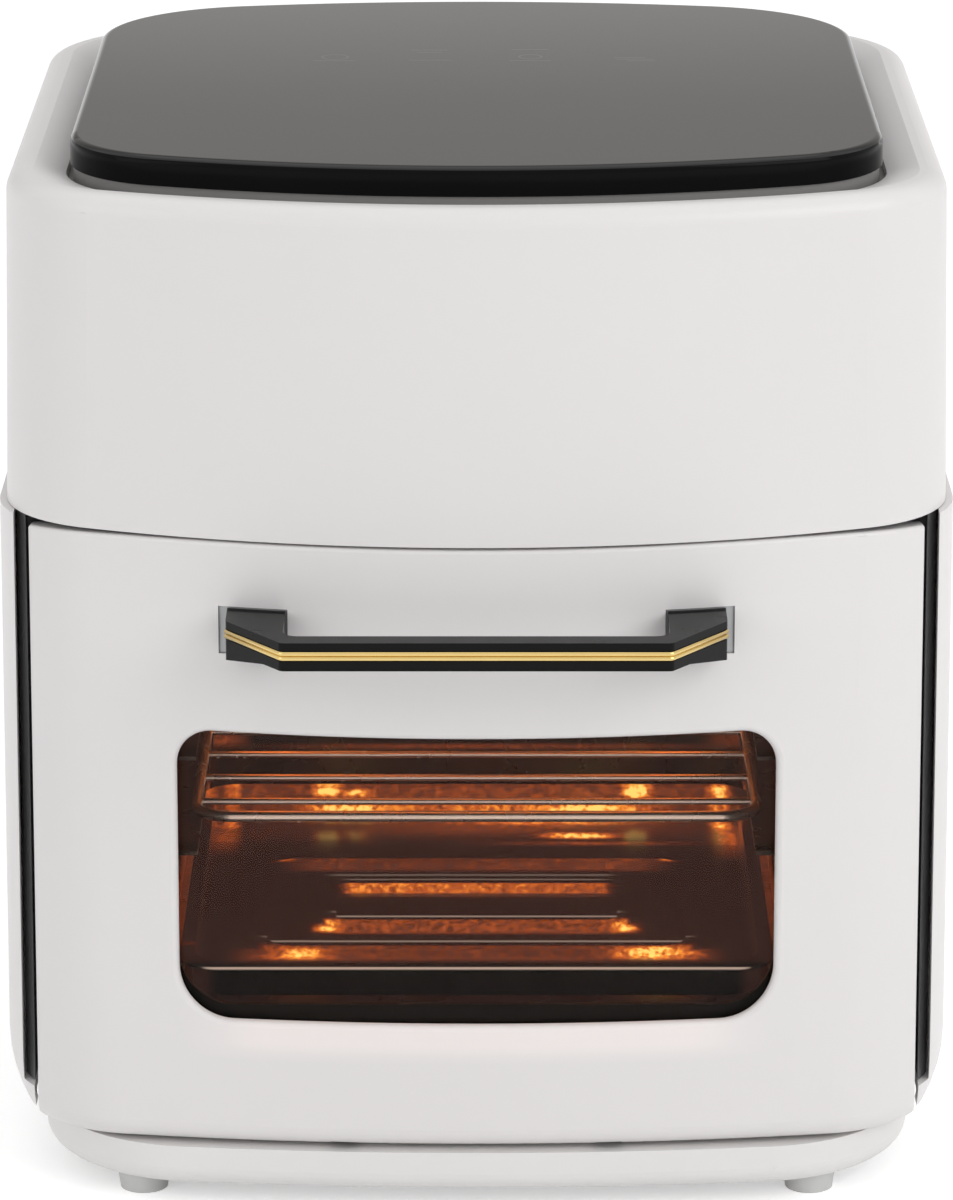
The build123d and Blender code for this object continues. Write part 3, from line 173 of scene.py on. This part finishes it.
def tone(colour, share):
    """The colour made lighter or darker by a share."""
    return tuple(min(1.0, c * (1 + share)) for c in colour) + (1.0,)


def seen_directly(tree):
    """1 for camera, glossy and transmission rays, else 0."""
    path = node(tree, "ShaderNodeLightPath").outputs
    first = calculate(tree, "MAXIMUM", path["Is Camera Ray"], path["Is Glossy Ray"])
    return calculate(tree, "MAXIMUM", first, path["Is Transmission Ray"])


# Material makers: tone, roughness and relief all come from noise in object space

LEAST_ROUGH = 0.02
SMUDGE_SCALE = 2.3  # smudges are finer than the patches of tone


def surface(name, colour, rough, vary=0.04, rough_vary=0.06, patch=25.0, grain=1400.0, bump=0.05,
            depth=0.00004, grain_stretch=None, metallic=0.0, **sockets):
    """A solid surface: patches vary its tone, smudges its roughness, and grain its relief."""
    mat, tree, shader = new_material(name)
    vector = coordinates(tree)
    fine_vector = coordinates(tree, grain_stretch) if grain_stretch else vector
    patches = noise(tree, vector, patch)
    fine = noise(tree, fine_vector, grain, detail=2.0)
    colour_out = blend_colours(tree, patches, tone(colour, -vary), tone(colour, vary))
    tree.links.new(colour_out, shader.inputs["Base Color"])
    smudge = noise(tree, vector, patch * SMUDGE_SCALE, detail=4.0)
    rough_out = spread(tree, smudge, max(LEAST_ROUGH, rough - rough_vary), rough + rough_vary)
    tree.links.new(rough_out, shader.inputs["Roughness"])
    relief = node(tree, "ShaderNodeBump", {"Strength": bump, "Distance": depth, "Height": fine})
    tree.links.new(relief.outputs["Normal"], shader.inputs["Normal"])
    shader.inputs["Metallic"].default_value = metallic
    for key, value in sockets.items():
        shader.inputs[key].default_value = value
    return mat


HAZE_SCALE = 18
HAZE_VARY = 0.03
HAZE_ROUGH = 0.02


def glass(name, colour, rough, ior):
    """Tempered glass with a trace of haze."""
    mat, tree, shader = new_material(name)
    haze = noise(tree, coordinates(tree), HAZE_SCALE, detail=4.0)
    colour_out = blend_colours(tree, haze, tone(colour, -HAZE_VARY), tone(colour, HAZE_VARY))
    tree.links.new(colour_out, shader.inputs["Base Color"])
    tree.links.new(spread(tree, haze, rough, rough + HAZE_ROUGH), shader.inputs["Roughness"])
    shader.inputs["Transmission Weight"].default_value = 1.0
    shader.inputs["IOR"].default_value = ior
    return mat


HEAT_LEAST, HEAT_MOST = 0.7, 1.3  # a glowing surface's coolest and hottest places


def glowing(name, colour, light, strength, patch):
    """A surface that glows, hotter in some places than in others."""
    mat = surface(name, colour, 0.5, vary=0.2, patch=patch, grain=1500, bump=0.4, depth=0.0001)
    tree = mat.node_tree
    shader = tree.nodes["Principled BSDF"]
    glow_level = spread(tree, noise(tree, coordinates(tree), patch),
                  strength * HEAT_LEAST, strength * HEAT_MOST)
    tree.links.new(glow_level, shader.inputs["Emission Strength"])
    shader.inputs["Emission Color"].default_value = (*light, 1.0)
    return mat


def emit_over_black(mat, mask, light, strength):
    """Makes the mask's places give a faint light of their own."""
    tree = mat.node_tree
    shader = tree.nodes["Principled BSDF"]
    colour = blend_colours(tree, mask, BLACK, (*light, 1))
    tree.links.new(colour, shader.inputs["Emission Color"])
    shader.inputs["Emission Strength"].default_value = strength


PAINTED_GLOW_STOPS = [(0.2, (0.1, 0.022, 0.008)), (0.5, (0.42, 0.09, 0.014)),
              (0.75, (0.85, 0.3, 0.035)), (1.0, (1.0, 0.68, 0.17))]
PAINTED_GLOW_STRENGTH = 1.4
# Streaks and specks that break up the painted reflected glow
STREAK_STRETCH, STREAK_RANGE = (6, 60, 60), (0.72, 1.2)
SPARK_STRETCH, SPARK_SCALE, SPARK_RANGE = (1, 0.6, 1), 420, (0.5, 1.4)
FRONT_FADE = 3
PAINTED_HIGHLIGHT_COLOUR = (0.5, 0.42, 0.36, 1)


def paint_reflected_glow(mat, patches, faint_painted_glow, front, painted_highlights=()):
    """Paints the heater's reflected glow into the emission: streaked patches over a faint painted
    glow.

    The painted glow ends at the depth called front, in mm, because what faces the door is dark.
    Painted highlights are pale patches where an edge catches the light.
    """
    tree = mat.node_tree
    shader = tree.nodes["Principled BSDF"]
    place = parts_of(tree, coordinates(tree))
    glow_level = patch_sum(tree, place, patches)
    streak_noise = noise(tree, coordinates(tree, STREAK_STRETCH), 1.0, detail=4.0)
    spark_noise = noise(tree, coordinates(tree, SPARK_STRETCH), SPARK_SCALE, detail=2.0)
    glow_level = calculate(tree, "MULTIPLY", glow_level, spread(tree, streak_noise, *STREAK_RANGE))
    glow_level = calculate(tree, "MULTIPLY", glow_level, spread(tree, spark_noise, *SPARK_RANGE))
    colour = ramp(tree, glow_level, [(0.0, faint_painted_glow)] + PAINTED_GLOW_STOPS)
    inside = step(tree, place["y"], front / MM, (front + FRONT_FADE) / MM)
    colour = blend_colours(tree, inside, BLACK, colour)
    if painted_highlights:
        colour = blend_colours(tree, patch_sum(tree, place, painted_highlights), colour, PAINTED_HIGHLIGHT_COLOUR)
    tree.links.new(colour, shader.inputs["Emission Color"])
    shader.inputs["Emission Strength"].default_value = PAINTED_GLOW_STRENGTH


# Materials

PAINT = (0.775, 0.755, 0.75)
PAINT_ROUGH = 0.38
PAINT_LOOK = dict(vary=0.012, rough_vary=0.04, patch=9, grain=2600, bump=0.06, depth=0.00003,
                  IOR=1.46)

white_shell = surface("satin_white_shell", PAINT, PAINT_ROUGH, **PAINT_LOOK)
white_base = surface("satin_white_base", (0.79, 0.775, 0.765), 0.45, vary=0.015, rough_vary=0.05,
                     patch=12, grain=2200, bump=0.08, depth=0.00004)
black_frame = surface("textured_black_frame", (0.085, 0.085, 0.086), 0.5, vary=0.12, patch=40,
                      grain=1800, bump=0.35, depth=0.00008)
door_inner = surface("satin_black_inner_frame", (0.012, 0.011, 0.011), 0.42, vary=0.1, patch=40,
                     grain=1500, bump=0.25, depth=0.00006, IOR=1.3)
rubber = surface("grey_rubber", (0.62, 0.62, 0.61), 0.75, vary=0.06, patch=90, grain=2400,
                 bump=0.4, depth=0.00008)
silicone = surface("black_silicone", (0.03, 0.03, 0.03), 0.62, vary=0.15, patch=70, grain=1900,
                   bump=0.3, depth=0.00006)
steel = surface("plated_steel", (0.62, 0.62, 0.63), 0.32, vary=0.08, rough_vary=0.08, patch=60,
                grain=900, grain_stretch=(1, 12, 12), bump=0.15, depth=0.00003, metallic=1.0)
enamel = surface("dark_cavity_enamel", (0.016, 0.01, 0.008), 0.28, vary=0.25, rough_vary=0.07,
                 patch=18, grain=900, bump=0.25, depth=0.00006)
guide_steel = surface("dark_guide_rails", (0.06, 0.045, 0.04), 0.3, vary=0.15, rough_vary=0.06,
                      patch=30, grain=700, grain_stretch=(1, 1, 14), bump=0.2, depth=0.00004,
                      metallic=0.6)
carrier_grey = surface("grey_panel_carrier", (0.22, 0.215, 0.21), 0.5, vary=0.05, patch=30,
                       grain=2000, bump=0.2, depth=0.00005)
strip_grey = surface("textured_grey_frame", (0.12, 0.12, 0.121), 0.55, vary=0.1, patch=45,
                     grain=1900, grain_stretch=(1, 1, 0.25), bump=0.4, depth=0.00008)
chrome = surface("chrome_wire", (0.86, 0.84, 0.82), 0.26, vary=0.03, rough_vary=0.03, patch=30,
                 grain=1200, bump=0.03, depth=0.00001, metallic=0.9)
tray_coat = surface("dark_tray_coating", (0.014, 0.009, 0.008), 0.16, vary=0.2, rough_vary=0.05,
                    patch=30, grain=1500, bump=0.25, depth=0.00006)
fan_metal = surface("pressed_aluminium", (0.74, 0.74, 0.75), 0.3, vary=0.07, patch=50, grain=700,
                    grain_stretch=(10, 1, 1), bump=0.12, depth=0.00004, metallic=1.0)
motor_metal = surface("zinc_motor_can", (0.5, 0.5, 0.52), 0.36, vary=0.12, rough_vary=0.1,
                      patch=45, grain=600, grain_stretch=(1, 1, 14), bump=0.15, depth=0.00005,
                      metallic=1.0)
copper = surface("enamelled_winding", (0.62, 0.27, 0.12), 0.3, vary=0.2, patch=120, grain=1000,
                 grain_stretch=(3, 3, 0.2), bump=0.6, depth=0.0002, metallic=0.9)
bronze = surface("sintered_bronze", (0.55, 0.38, 0.2), 0.42, vary=0.15, patch=150, grain=2600,
                 bump=0.5, depth=0.0001, metallic=1.0)
insulation = surface("mineral_fibre", (0.78, 0.75, 0.66), 0.95, vary=0.12, patch=55, grain=420,
                     grain_stretch=(1, 3.5, 3.5), bump=0.9, depth=0.0012)
board_green = surface("circuit_board", (0.04, 0.17, 0.07), 0.38, vary=0.25, patch=220, grain=700,
                      grain_stretch=(1, 9, 1), bump=0.3, depth=0.00008)
handle_black = surface("satin_black_handle", (0.005, 0.0048, 0.0047), 0.24, vary=0.15,
                       rough_vary=0.04, patch=40, grain=1800, bump=0.04, depth=0.00002, IOR=1.2)
pad_silver = surface("silver_grey_pads", (0.4, 0.405, 0.41), 0.36, vary=0.06, patch=60,
                     grain=2000, bump=0.2, depth=0.00004, metallic=0.35)
gold = surface("polished_gold_trim", (0.7, 0.52, 0.21), 0.12, vary=0.05, rough_vary=0.04,
               patch=70, grain=500, grain_stretch=(1, 10, 10), bump=0.06, depth=0.00002,
               metallic=1.0)
nickel = surface("nickel_magnet", (0.7, 0.68, 0.64), 0.2, vary=0.08, patch=100, grain=1800,
                 bump=0.1, depth=0.00003, metallic=1.0)

outer_glass = glass("tinted_door_glass", (0.86, 0.76, 0.7), 0.0, 1.15)
inner_glass = glass("clear_door_glass", (0.97, 0.96, 0.95), 0.0, 1.06)
lamp_glass = glass("lamp_cover_glass", (0.95, 0.9, 0.82), 0.12, 1.5)

heater = glowing("glowing_heater_tube", (0.25, 0.08, 0.04), (1.0, 0.25, 0.035), 2.6, 40)
bulb = glowing("lamp_filament_glow", (0.9, 0.6, 0.3), (1.0, 0.42, 0.1), 2.5, 90)

touch_black = surface("gloss_black_touch_glass", (0.006, 0.0058, 0.0056), 0.05, vary=0.2,
                      rough_vary=0.015, patch=14, grain=300, bump=0.02, depth=0.00002, IOR=1.45)
# A shaded copy of the cover's material for its rounded sides: painted shade
shaded_cover_edge = surface("gloss_black_cover_edge", (0.004, 0.004, 0.0042), 0.12, vary=0.2,
                     rough_vary=0.02, patch=30, grain=600, bump=0.02, depth=0.00001, IOR=1.14)

# Touch marks on the cover, in mm: a ring's middle and radius, or a bar's middle and half sizes
MARKS = [
    ("ring", -50.8, 57.3, 4.6),
    ("bar", -50.8, 50.8, 7.5, 0.5),
    ("bar", -16.8, 70.4, 6.5, 0.55),
    ("bar", -16.8, 66.2, 4.5, 0.5),
    ("bar", -16.8, 51.6, 7.5, 0.5),
    ("bar", 19.3, 71.4, 6.5, 0.55),
    ("ring", 19.3, 58.0, 4.0),
    ("bar", 19.3, 50.8, 7.5, 0.5),
    ("bar", 55.0, 56.4, 5.5, 0.6),
    ("bar", 57.0, 53.4, 6.5, 0.6),
    ("bar", 59.0, 50.4, 5.0, 0.5),
]
RING_HALF = 0.4
MARK_SOFT = 0.3
BAR_END_SOFT = 0.4
MARK_LIGHT, MARK_STRENGTH = (0.9, 0.82, 0.7), 0.03


def mark_mask(tree, place, kind, x, y, *sizes):
    """The mask of one ring or bar."""
    if kind == "bar":
        half_x, half_y = sizes
        return patch_mask(tree, place, 1.0, x=(x, half_x, BAR_END_SOFT), y=(y, half_y, MARK_SOFT))
    across = calculate(tree, "SUBTRACT", place["x"], x / MM)
    along = calculate(tree, "SUBTRACT", place["y"], y / MM)
    squares = [calculate(tree, "POWER", part, 2.0) for part in (across, along)]
    reach = calculate(tree, "SQRT", calculate(tree, "ADD", *squares))
    return patch_mask(tree, {"reach": reach}, 1.0, reach=(sizes[0], RING_HALF, MARK_SOFT))


mark_tree = touch_black.node_tree
mark_place = parts_of(mark_tree, coordinates(mark_tree))
all_marks = add_up(mark_tree, [mark_mask(mark_tree, mark_place, *mark) for mark in MARKS])
emit_over_black(touch_black, all_marks, MARK_LIGHT, MARK_STRENGTH)

# The heater's reflected glow, painted: a level and, per axis, a middle, a half size and a soft
# edge, in mm
TRAY_REAR = (107, 4, 1.5)
LOW_BAND = (59.5, 1.0, 1.8)
paint_reflected_glow(tray_coat, [
    # the tray's rear wall
    (0.2, {"x": (0, 94, 10), "y": TRAY_REAR}),
    (0.24, {"x": (0, 66, 14), "z": (59.5, 2, 1), "y": (106, 4, 2)}),
    (1.1, {"x": (-57, 1, 7), "y": TRAY_REAR, "z": (66.5, 0.6, 2.2)}),
    (0.6, {"x": (-45, 2, 8), "y": TRAY_REAR, "z": (66, 0.5, 2)}),
    (1.3, {"x": (61, 1, 7), "y": TRAY_REAR, "z": (66.5, 0.8, 3)}),
    (0.7, {"x": (-50, 6, 16), "y": TRAY_REAR, "z": LOW_BAND}),
    (0.65, {"x": (44, 8, 18), "y": TRAY_REAR, "z": LOW_BAND}),
    # its rear corners
    (0.5, {"x": (-93, 0.5, 5), "y": (100, 12, 4)}),
    (0.45, {"x": (-101.5, 0.5, 5), "y": (100, 12, 4)}),
    (0.85, {"x": (92.5, 0.5, 6), "y": (98, 10, 8)}),
    # the floor behind the beads
    (0.26, {"x": (14, 50, 42), "y": (92, 4, 14)}),
    (0.5, {"x": (28, 22, 34), "y": (95, 1.2, 4)}),
    (1.2, {"x": (39, 1, 20), "y": (79, 0.5, 5)}),
    (0.34, {"x": (44, 14, 40), "y": (70, 0.6, 3.4)}),
    # bands along the beads, from the back to the front
    (0.24, {"x": (0, 66, 10), "y": (45.5, 6, 2.5)}),
    (0.8, {"x": (-71.5, 1, 5), "y": (47, 0.5, 4)}),
    (0.75, {"x": (71.5, 1, 5), "y": (47, 0.5, 4)}),
    (0.4, {"x": (0, 49, 3.5), "y": (17.5, 4, 1.5)}),
    (0.12, {"x": (0, 46, 4), "y": (17, 1, 3)}),
    (0.28, {"x": (0, 57, 5), "y": (-24, 6, 2)}),
    (0.75, {"x": (-54, 1, 6), "y": (-24.5, 1, 5)}),
    (0.75, {"x": (54, 1, 6), "y": (-24.5, 1, 5)}),
    (0.23, {"x": (0, 83, 8), "y": (-52, 6, 2.5)}),
    (0.6, {"x": (-63, 1, 15), "y": (-53, 0.5, 6)}),
    (0.85, {"x": (64, 2, 20), "y": (-52, 0.5, 6)}),
    (0.2, {"x": (-40, 62, 14), "y": (-69, 1.2, 1.6)}),
    # its sides
    (0.4, {"x": (95, 2, 6), "y": (74, 4, 22)}),
    (0.26, {"x": (-95, 2, 6), "y": (78, 4, 20)}),
], (0.018, 0.007, 0.0055), -90, painted_highlights=[
    # painted highlights on the front rim, then pale painted lines beside the beads
    (0.9, {"y": (-94.3, 0.6, 0.8), "z": (68.3, 0.8, 0.4)}),
    (0.5, {"x": (0, 52, 3), "y": (-11.5, 0.5, 1.0)}),
    (0.45, {"x": (0, 76, 4), "y": (-38, 0.5, 1.0)}),
    (0.25, {"x": (-2, 52, 3), "y": (34, 0.4, 1.0)}),
    (0.3, {"x": (0, 48, 4), "y": (29, 0.3, 0.8)}),
])
LEFT_WALL, RIGHT_WALL, CAVITY_REAR = (-106, 5, 3), (106, 5, 3), (131, 4, 2)
# Painted reflected glow of the heater on the cavity's side and rear walls
paint_reflected_glow(enamel, [
    (0.3, {"x": LEFT_WALL, "y": (96, 26, 18), "z": (70, 11, 6)}),
    (0.3, {"x": RIGHT_WALL, "y": (96, 26, 18), "z": (70, 11, 6)}),
    (0.12, {"x": LEFT_WALL, "y": (20, 70, 20), "z": (70, 12, 6)}),
    (0.12, {"x": RIGHT_WALL, "y": (20, 70, 20), "z": (70, 12, 6)}),
    (0.22, {"x": (8, 70, 40), "y": CAVITY_REAR, "z": (76, 0.8, 1.0)}),
    (0.26, {"x": (-98, 7, 6), "y": CAVITY_REAR, "z": (79, 2, 3)}),
    (0.2, {"x": (98, 7, 6), "y": CAVITY_REAR, "z": (79, 2, 3)}),
], (0.0045, 0.002, 0.0016), -100)
# Painted reflected glow of the heater on the rack guides
paint_reflected_glow(guide_steel, [
    (0.3, {"y": (90, 26, 18), "z": (62, 14, 5)}),
    (0.16, {"y": (10, 80, 20), "z": (62, 14, 5)}),
], (0.008, 0.003, 0.002), -100)

# A little warm light from the window on the door's lower lip
PANE_MARGIN = 5.5  # how much of the pane the door's shell hides
LIP_DROP = 4.5
LIP_LIGHT, LIP_STRENGTH = (1.0, 0.62, 0.5), 0.1
lip_white = surface("satin_white_door", PAINT, PAINT_ROUGH, **PAINT_LOOK)
lip_tree = lip_white.node_tree
window_foot = PANE_LOW.z * MM + PANE_MARGIN
lip_mask = patch_mask(lip_tree, parts_of(lip_tree, coordinates(lip_tree)), 1.0,
                      x=(0, 86, 16), z=(window_foot - LIP_DROP, 6, 4))
emit_over_black(lip_white, lip_mask, LIP_LIGHT, LIP_STRENGTH)

NODE_MATERIALS = {
    white_shell: ["top_housing", "side_panel_right", "side_panel_left", "rear_cover",
                  "exhaust_grille"],
    lip_white: ["door_shell"],
    white_base: ["base_pan"],
    strip_grey: ["front_frame"],
    carrier_grey: ["panel_carrier"],
    black_frame: ["lamp_holder", "door_switch"],
    door_inner: ["door_liner"],
    rubber: ["rubber_feet"],
    silicone: ["door_gasket", "window_seal", "cable_gland"],
    steel: ["foot_screws", "liner_rails", "heater_clips", "motor_rotor", "motor_shaft",
            "motor_posts", "motor_screws", "fan_nuts", "heat_deck", "deck_posts",
            "temperature_probe", "board_posts", "glass_clips", "handle_screws",
            "hinge_arm_right", "hinge_arm_left", "hinge_bracket_right", "hinge_bracket_left",
            "hinge_pins", "catch_plates"],
    enamel: ["cavity_liner"],
    guide_steel: ["rack_guide_right", "rack_guide_left"],
    chrome: ["wire_rack", "element_guard"],
    tray_coat: ["drip_tray"],
    fan_metal: ["hot_air_fan", "cooling_fan"],
    motor_metal: ["motor_housing"],
    copper: ["motor_stator"],
    bronze: ["motor_bushes"],
    insulation: ["insulation_blanket"],
    board_green: ["display_board", "power_board"],
    handle_black: ["handle_bar"],
    pad_silver: ["handle_pads"],
    gold: ["handle_trim"],
    nickel: ["door_magnets"],
    outer_glass: ["outer_glass"],
    inner_glass: ["inner_glass"],
    lamp_glass: ["lamp_cover"],
    heater: ["heating_element"],
    bulb: ["lamp_bulb"],
    touch_black: ["touch_cover"],
}
for mat, names in NODE_MATERIALS.items():
    for name in names:
        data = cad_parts[name].data
        data.materials.clear()
        data.materials.append(mat)

# Painted shade: the cover's rounded sides get a darker copy of its material, reflecting less than
# its flat top
EDGE_TILT = 0.5
cover_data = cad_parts["touch_cover"].data
cover_data.materials.append(shaded_cover_edge)
for face in cover_data.polygons:
    face.material_index = 1 if face.normal.z < EDGE_TILT else 0


# Handle trim: two round gold beads with a groove between them, round the handle's front, in mm

CORNER_STEPS = 5


def rounded(points, radius):
    """The open line through the points, its inner corners rounded."""
    line = [points[0]]
    for before, corner, after in zip(points, points[1:], points[2:]):
        first = (before - corner).normalized()
        second = (after - corner).normalized()
        half_angle = first.angle(second) / 2
        middle = corner + (first + second).normalized() * (radius / math.sin(half_angle))
        start = corner + first * (radius / math.tan(half_angle)) - middle
        end = corner + second * (radius / math.tan(half_angle)) - middle
        for number in range(CORNER_STEPS + 1):
            turned = start.slerp(end, number / CORNER_STEPS)
            line.append(middle + turned.normalized() * radius)
    line.append(points[-1])
    return line


TRIM_INSET = 0.6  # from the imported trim's outline to the beads' own line
TRIM_END_RUN = 1.0  # the short straight run at each end
TRIM_BAR_Y = TRIM_LOW.y * MM + TRIM_INSET
TRIM_END_Y = TRIM_HIGH.y * MM
SHOULDER_Y = TRIM_END_Y - TRIM_END_RUN
TRIM_FRONT_HALF = 64.0
TRIM_BACK_HALF = TRIM_HIGH.x * MM - TRIM_INSET
TRIM_ROUND = 2.5


def trim_line(grow):
    """The trim's plan, grown outwards, from its left end to its right end."""
    slope = math.atan2(TRIM_BACK_HALF - TRIM_FRONT_HALF, SHOULDER_Y - TRIM_BAR_Y)
    front_x = TRIM_FRONT_HALF + grow * math.tan((math.pi / 2 - slope) / 2)
    back_x = TRIM_BACK_HALF + grow
    turn_y = SHOULDER_Y - grow * math.tan(slope / 2)
    right = [Vector((front_x, TRIM_BAR_Y - grow)), Vector((back_x, turn_y)),
             Vector((back_x, TRIM_END_Y))]
    left = [Vector((-p.x, p.y)) for p in reversed(right)]
    corners = rounded(left[1:] + right[:-1], TRIM_ROUND + grow)
    return [left[0]] + corners + [right[-1]]


BEAD_MARGIN = 0.05
BEAD_FRONT = 0.55
BEAD_BACK = -0.75
BEAD_BULGE = 0.95  # a bead's depth as a share of its radius
BEAD_STEPS = 8


def trim_profile():
    """The trim's cross-section: each point's growth outwards and its height."""
    middle = (TRIM_LOW.z + TRIM_HIGH.z) / 2 * MM
    radius = (TRIM_HIGH.z - TRIM_LOW.z) / 4 * MM - BEAD_MARGIN
    profile = [(BEAD_BACK, middle - 2 * radius)]
    for side in (-1, 1):
        for number in range(BEAD_STEPS + 1):
            turn = math.radians(-90 + 180 * number / BEAD_STEPS)
            growth = BEAD_FRONT - BEAD_BULGE * radius * (1 - math.cos(turn))
            profile.append((growth, middle + side * radius + radius * math.sin(turn)))
    profile.append((BEAD_BACK, middle + 2 * radius))
    return profile


def add_object(name, data):
    """A new object in the scene."""
    made = bpy.data.objects.new(name, data)
    scene.collection.objects.link(made)
    return made


def add_mesh(name, points, faces, mat):
    """A new mesh object in the scene."""
    mesh = bpy.data.meshes.new(name)
    mesh.from_pydata(points, [], faces)
    mesh.materials.append(mat)
    return add_object(name, mesh)


profile = trim_profile()
rows = [trim_line(growth) for growth, height in profile]
row_length = len(rows[0])
trim_points = [(p.x / MM, p.y / MM, height / MM)
               for row, (growth, height) in zip(rows, profile) for p in row]
trim_faces = []
for first in range(len(profile)):
    second = (first + 1) % len(profile)
    for number in range(row_length - 1):
        a, b = first * row_length + number, second * row_length + number
        trim_faces.append((a, a + 1, b + 1, b))
row_starts = [row * row_length for row in range(len(profile))]
trim_faces.append(row_starts)
trim_faces.append([start + row_length - 1 for start in reversed(row_starts)])
trim = add_mesh("gold_beads", trim_points, trim_faces, gold)
trim.data.validate()
for face in trim.data.polygons:
    face.use_smooth = len(face.vertices) == 4
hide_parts("handle_trim")
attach(trim, "door")

# Camera: the photograph's view, from above the front
CAMERA_PLACE = (0.0, -1.9865, 0.762)
CAMERA_PITCH = math.radians(16.5)
CAMERA_LENS = 173.2
CAMERA_SENSOR = 36.0
camera_data = bpy.data.cameras.new("camera")
camera_data.sensor_fit = "VERTICAL"
camera_data.sensor_height = CAMERA_SENSOR
camera_data.lens = CAMERA_LENS
camera = add_object("camera", camera_data)
camera.location = CAMERA_PLACE
camera.rotation_euler = (math.pi / 2 - CAMERA_PITCH, 0, 0)
scene.camera = camera

# Floor: pale, and paler still where it is seen directly
FLOOR_HALF = 6.0
FLOOR_LOW, FLOOR_HIGH = (0.9, 0.9, 0.9, 1), (0.92, 0.92, 0.92, 1)
FLOOR_GLOW = 0.4
floor_mat, floor_tree, floor_shader = new_material("pale_floor")
floor_noise = noise(floor_tree, coordinates(floor_tree), 3)
floor_tone = blend_colours(floor_tree, floor_noise, FLOOR_LOW, FLOOR_HIGH)
floor_tree.links.new(floor_tone, floor_shader.inputs["Base Color"])
floor_shader.inputs["Roughness"].default_value = 0.9
floor_shader.inputs["Emission Color"].default_value = WHITE
floor_glow = calculate(floor_tree, "MULTIPLY", seen_directly(floor_tree), FLOOR_GLOW)
floor_tree.links.new(floor_glow, floor_shader.inputs["Emission Strength"])
floor_corners = [(-FLOOR_HALF, -FLOOR_HALF, 0), (FLOOR_HALF, -FLOOR_HALF, 0),
                 (FLOOR_HALF, FLOOR_HALF, 0), (-FLOOR_HALF, FLOOR_HALF, 0)]
floor = add_mesh("floor", floor_corners, [(0, 1, 2, 3)], floor_mat)

# World: even studio light, white where it is seen directly
STUDIO_LEVEL = 0.66
world = bpy.data.worlds.new("studio")
scene.world = world
world.use_nodes = True
world_tree = world.node_tree
background = world_tree.nodes["Background"]
background.inputs["Color"].default_value = WHITE
level = step(world_tree, seen_directly(world_tree), 0, 1, STUDIO_LEVEL, 1.0, course="LINEAR")
world_tree.links.new(level, background.inputs["Strength"])

# A card behind the oven, seen only in glossy reflections: the studio's dim wall in the cover
CARD_Y = 1.4
CARD_LOW, CARD_HIGH, CARD_HALF = 0.4, 5.0, 4.0
CARD_DIM_HALF = 1.2
CARD_STOPS = [
    (0.0, (1, 1, 1)), (0.022, (0.98, 0.97, 0.96)), (0.0333, (0.73, 0.715, 0.7)),
    (0.0537, (0.49, 0.475, 0.46)), (0.26, (0.44, 0.43, 0.42)), (0.6, (0.7, 0.7, 0.7)),
    (1.0, (1, 1, 1)),
]
card_mat, card_tree, card_shader = new_material("reflected_wall")
card_place = parts_of(card_tree, coordinates(card_tree))
card_rise = step(card_tree, card_place["z"], CARD_LOW, CARD_HIGH, course="LINEAR")
card_away = calculate(card_tree, "ABSOLUTE", card_place["x"])
card_side = step(card_tree, card_away, CARD_DIM_HALF, CARD_HALF)
card_level = ramp(card_tree, card_rise, CARD_STOPS)
card_level = blend_colours(card_tree, card_side, card_level, WHITE)
card_shader.inputs["Base Color"].default_value = BLACK
card_shader.inputs["Roughness"].default_value = 1.0
card_tree.links.new(card_level, card_shader.inputs["Emission Color"])
card_shader.inputs["Emission Strength"].default_value = 1.0
card_corners = [(-CARD_HALF, CARD_Y, CARD_LOW), (CARD_HALF, CARD_Y, CARD_LOW),
                (CARD_HALF, CARD_Y, CARD_HIGH), (-CARD_HALF, CARD_Y, CARD_HIGH)]
card = add_mesh("reflected_wall", card_corners, [(0, 1, 2, 3)], card_mat)
card.visible_camera = False
card.visible_diffuse = False
card.visible_transmission = False
card.visible_shadow = False


def area_light(name, place, target, side, power):
    """A soft square lamp aimed at a point."""
    data = bpy.data.lights.new(name, "AREA")
    data.shape = "RECTANGLE"
    data.size = data.size_y = side
    data.energy = power
    lamp = add_object(name, data)
    lamp.location = place
    aim = Vector(target) - Vector(place)
    lamp.rotation_euler = aim.to_track_quat("-Z", "Y").to_euler()


area_light("key_right", (1.9, -1.6, 1.5), (0, 0, 0.18), 1.6, 23)
area_light("fill_left", (-1.9, -1.4, 0.9), (0, 0, 0.18), 1.4, 7)
area_light("overhead", (0, 0.2, 2.2), (0, 0, 0.2), 1.8, 4)

# Two small warm lamps inside the cooking space
GLOW_COLOUR = (1.0, 0.3, 0.06)
GLOW_POWER = 0.008
GLOW_RADIUS = 0.012
GLOW_HEIGHT = 0.170
GLOW_OFFSET = 0.05
for name, side in (("glow_right", 1), ("glow_left", -1)):
    glow_data = bpy.data.lights.new(name, "POINT")
    glow_data.energy = GLOW_POWER
    glow_data.color = GLOW_COLOUR
    glow_data.shadow_soft_size = GLOW_RADIUS
    glow = add_object(name, glow_data)
    glow.location = (side * GLOW_OFFSET, BODY_Y + GLOW_OFFSET, GLOW_HEIGHT)
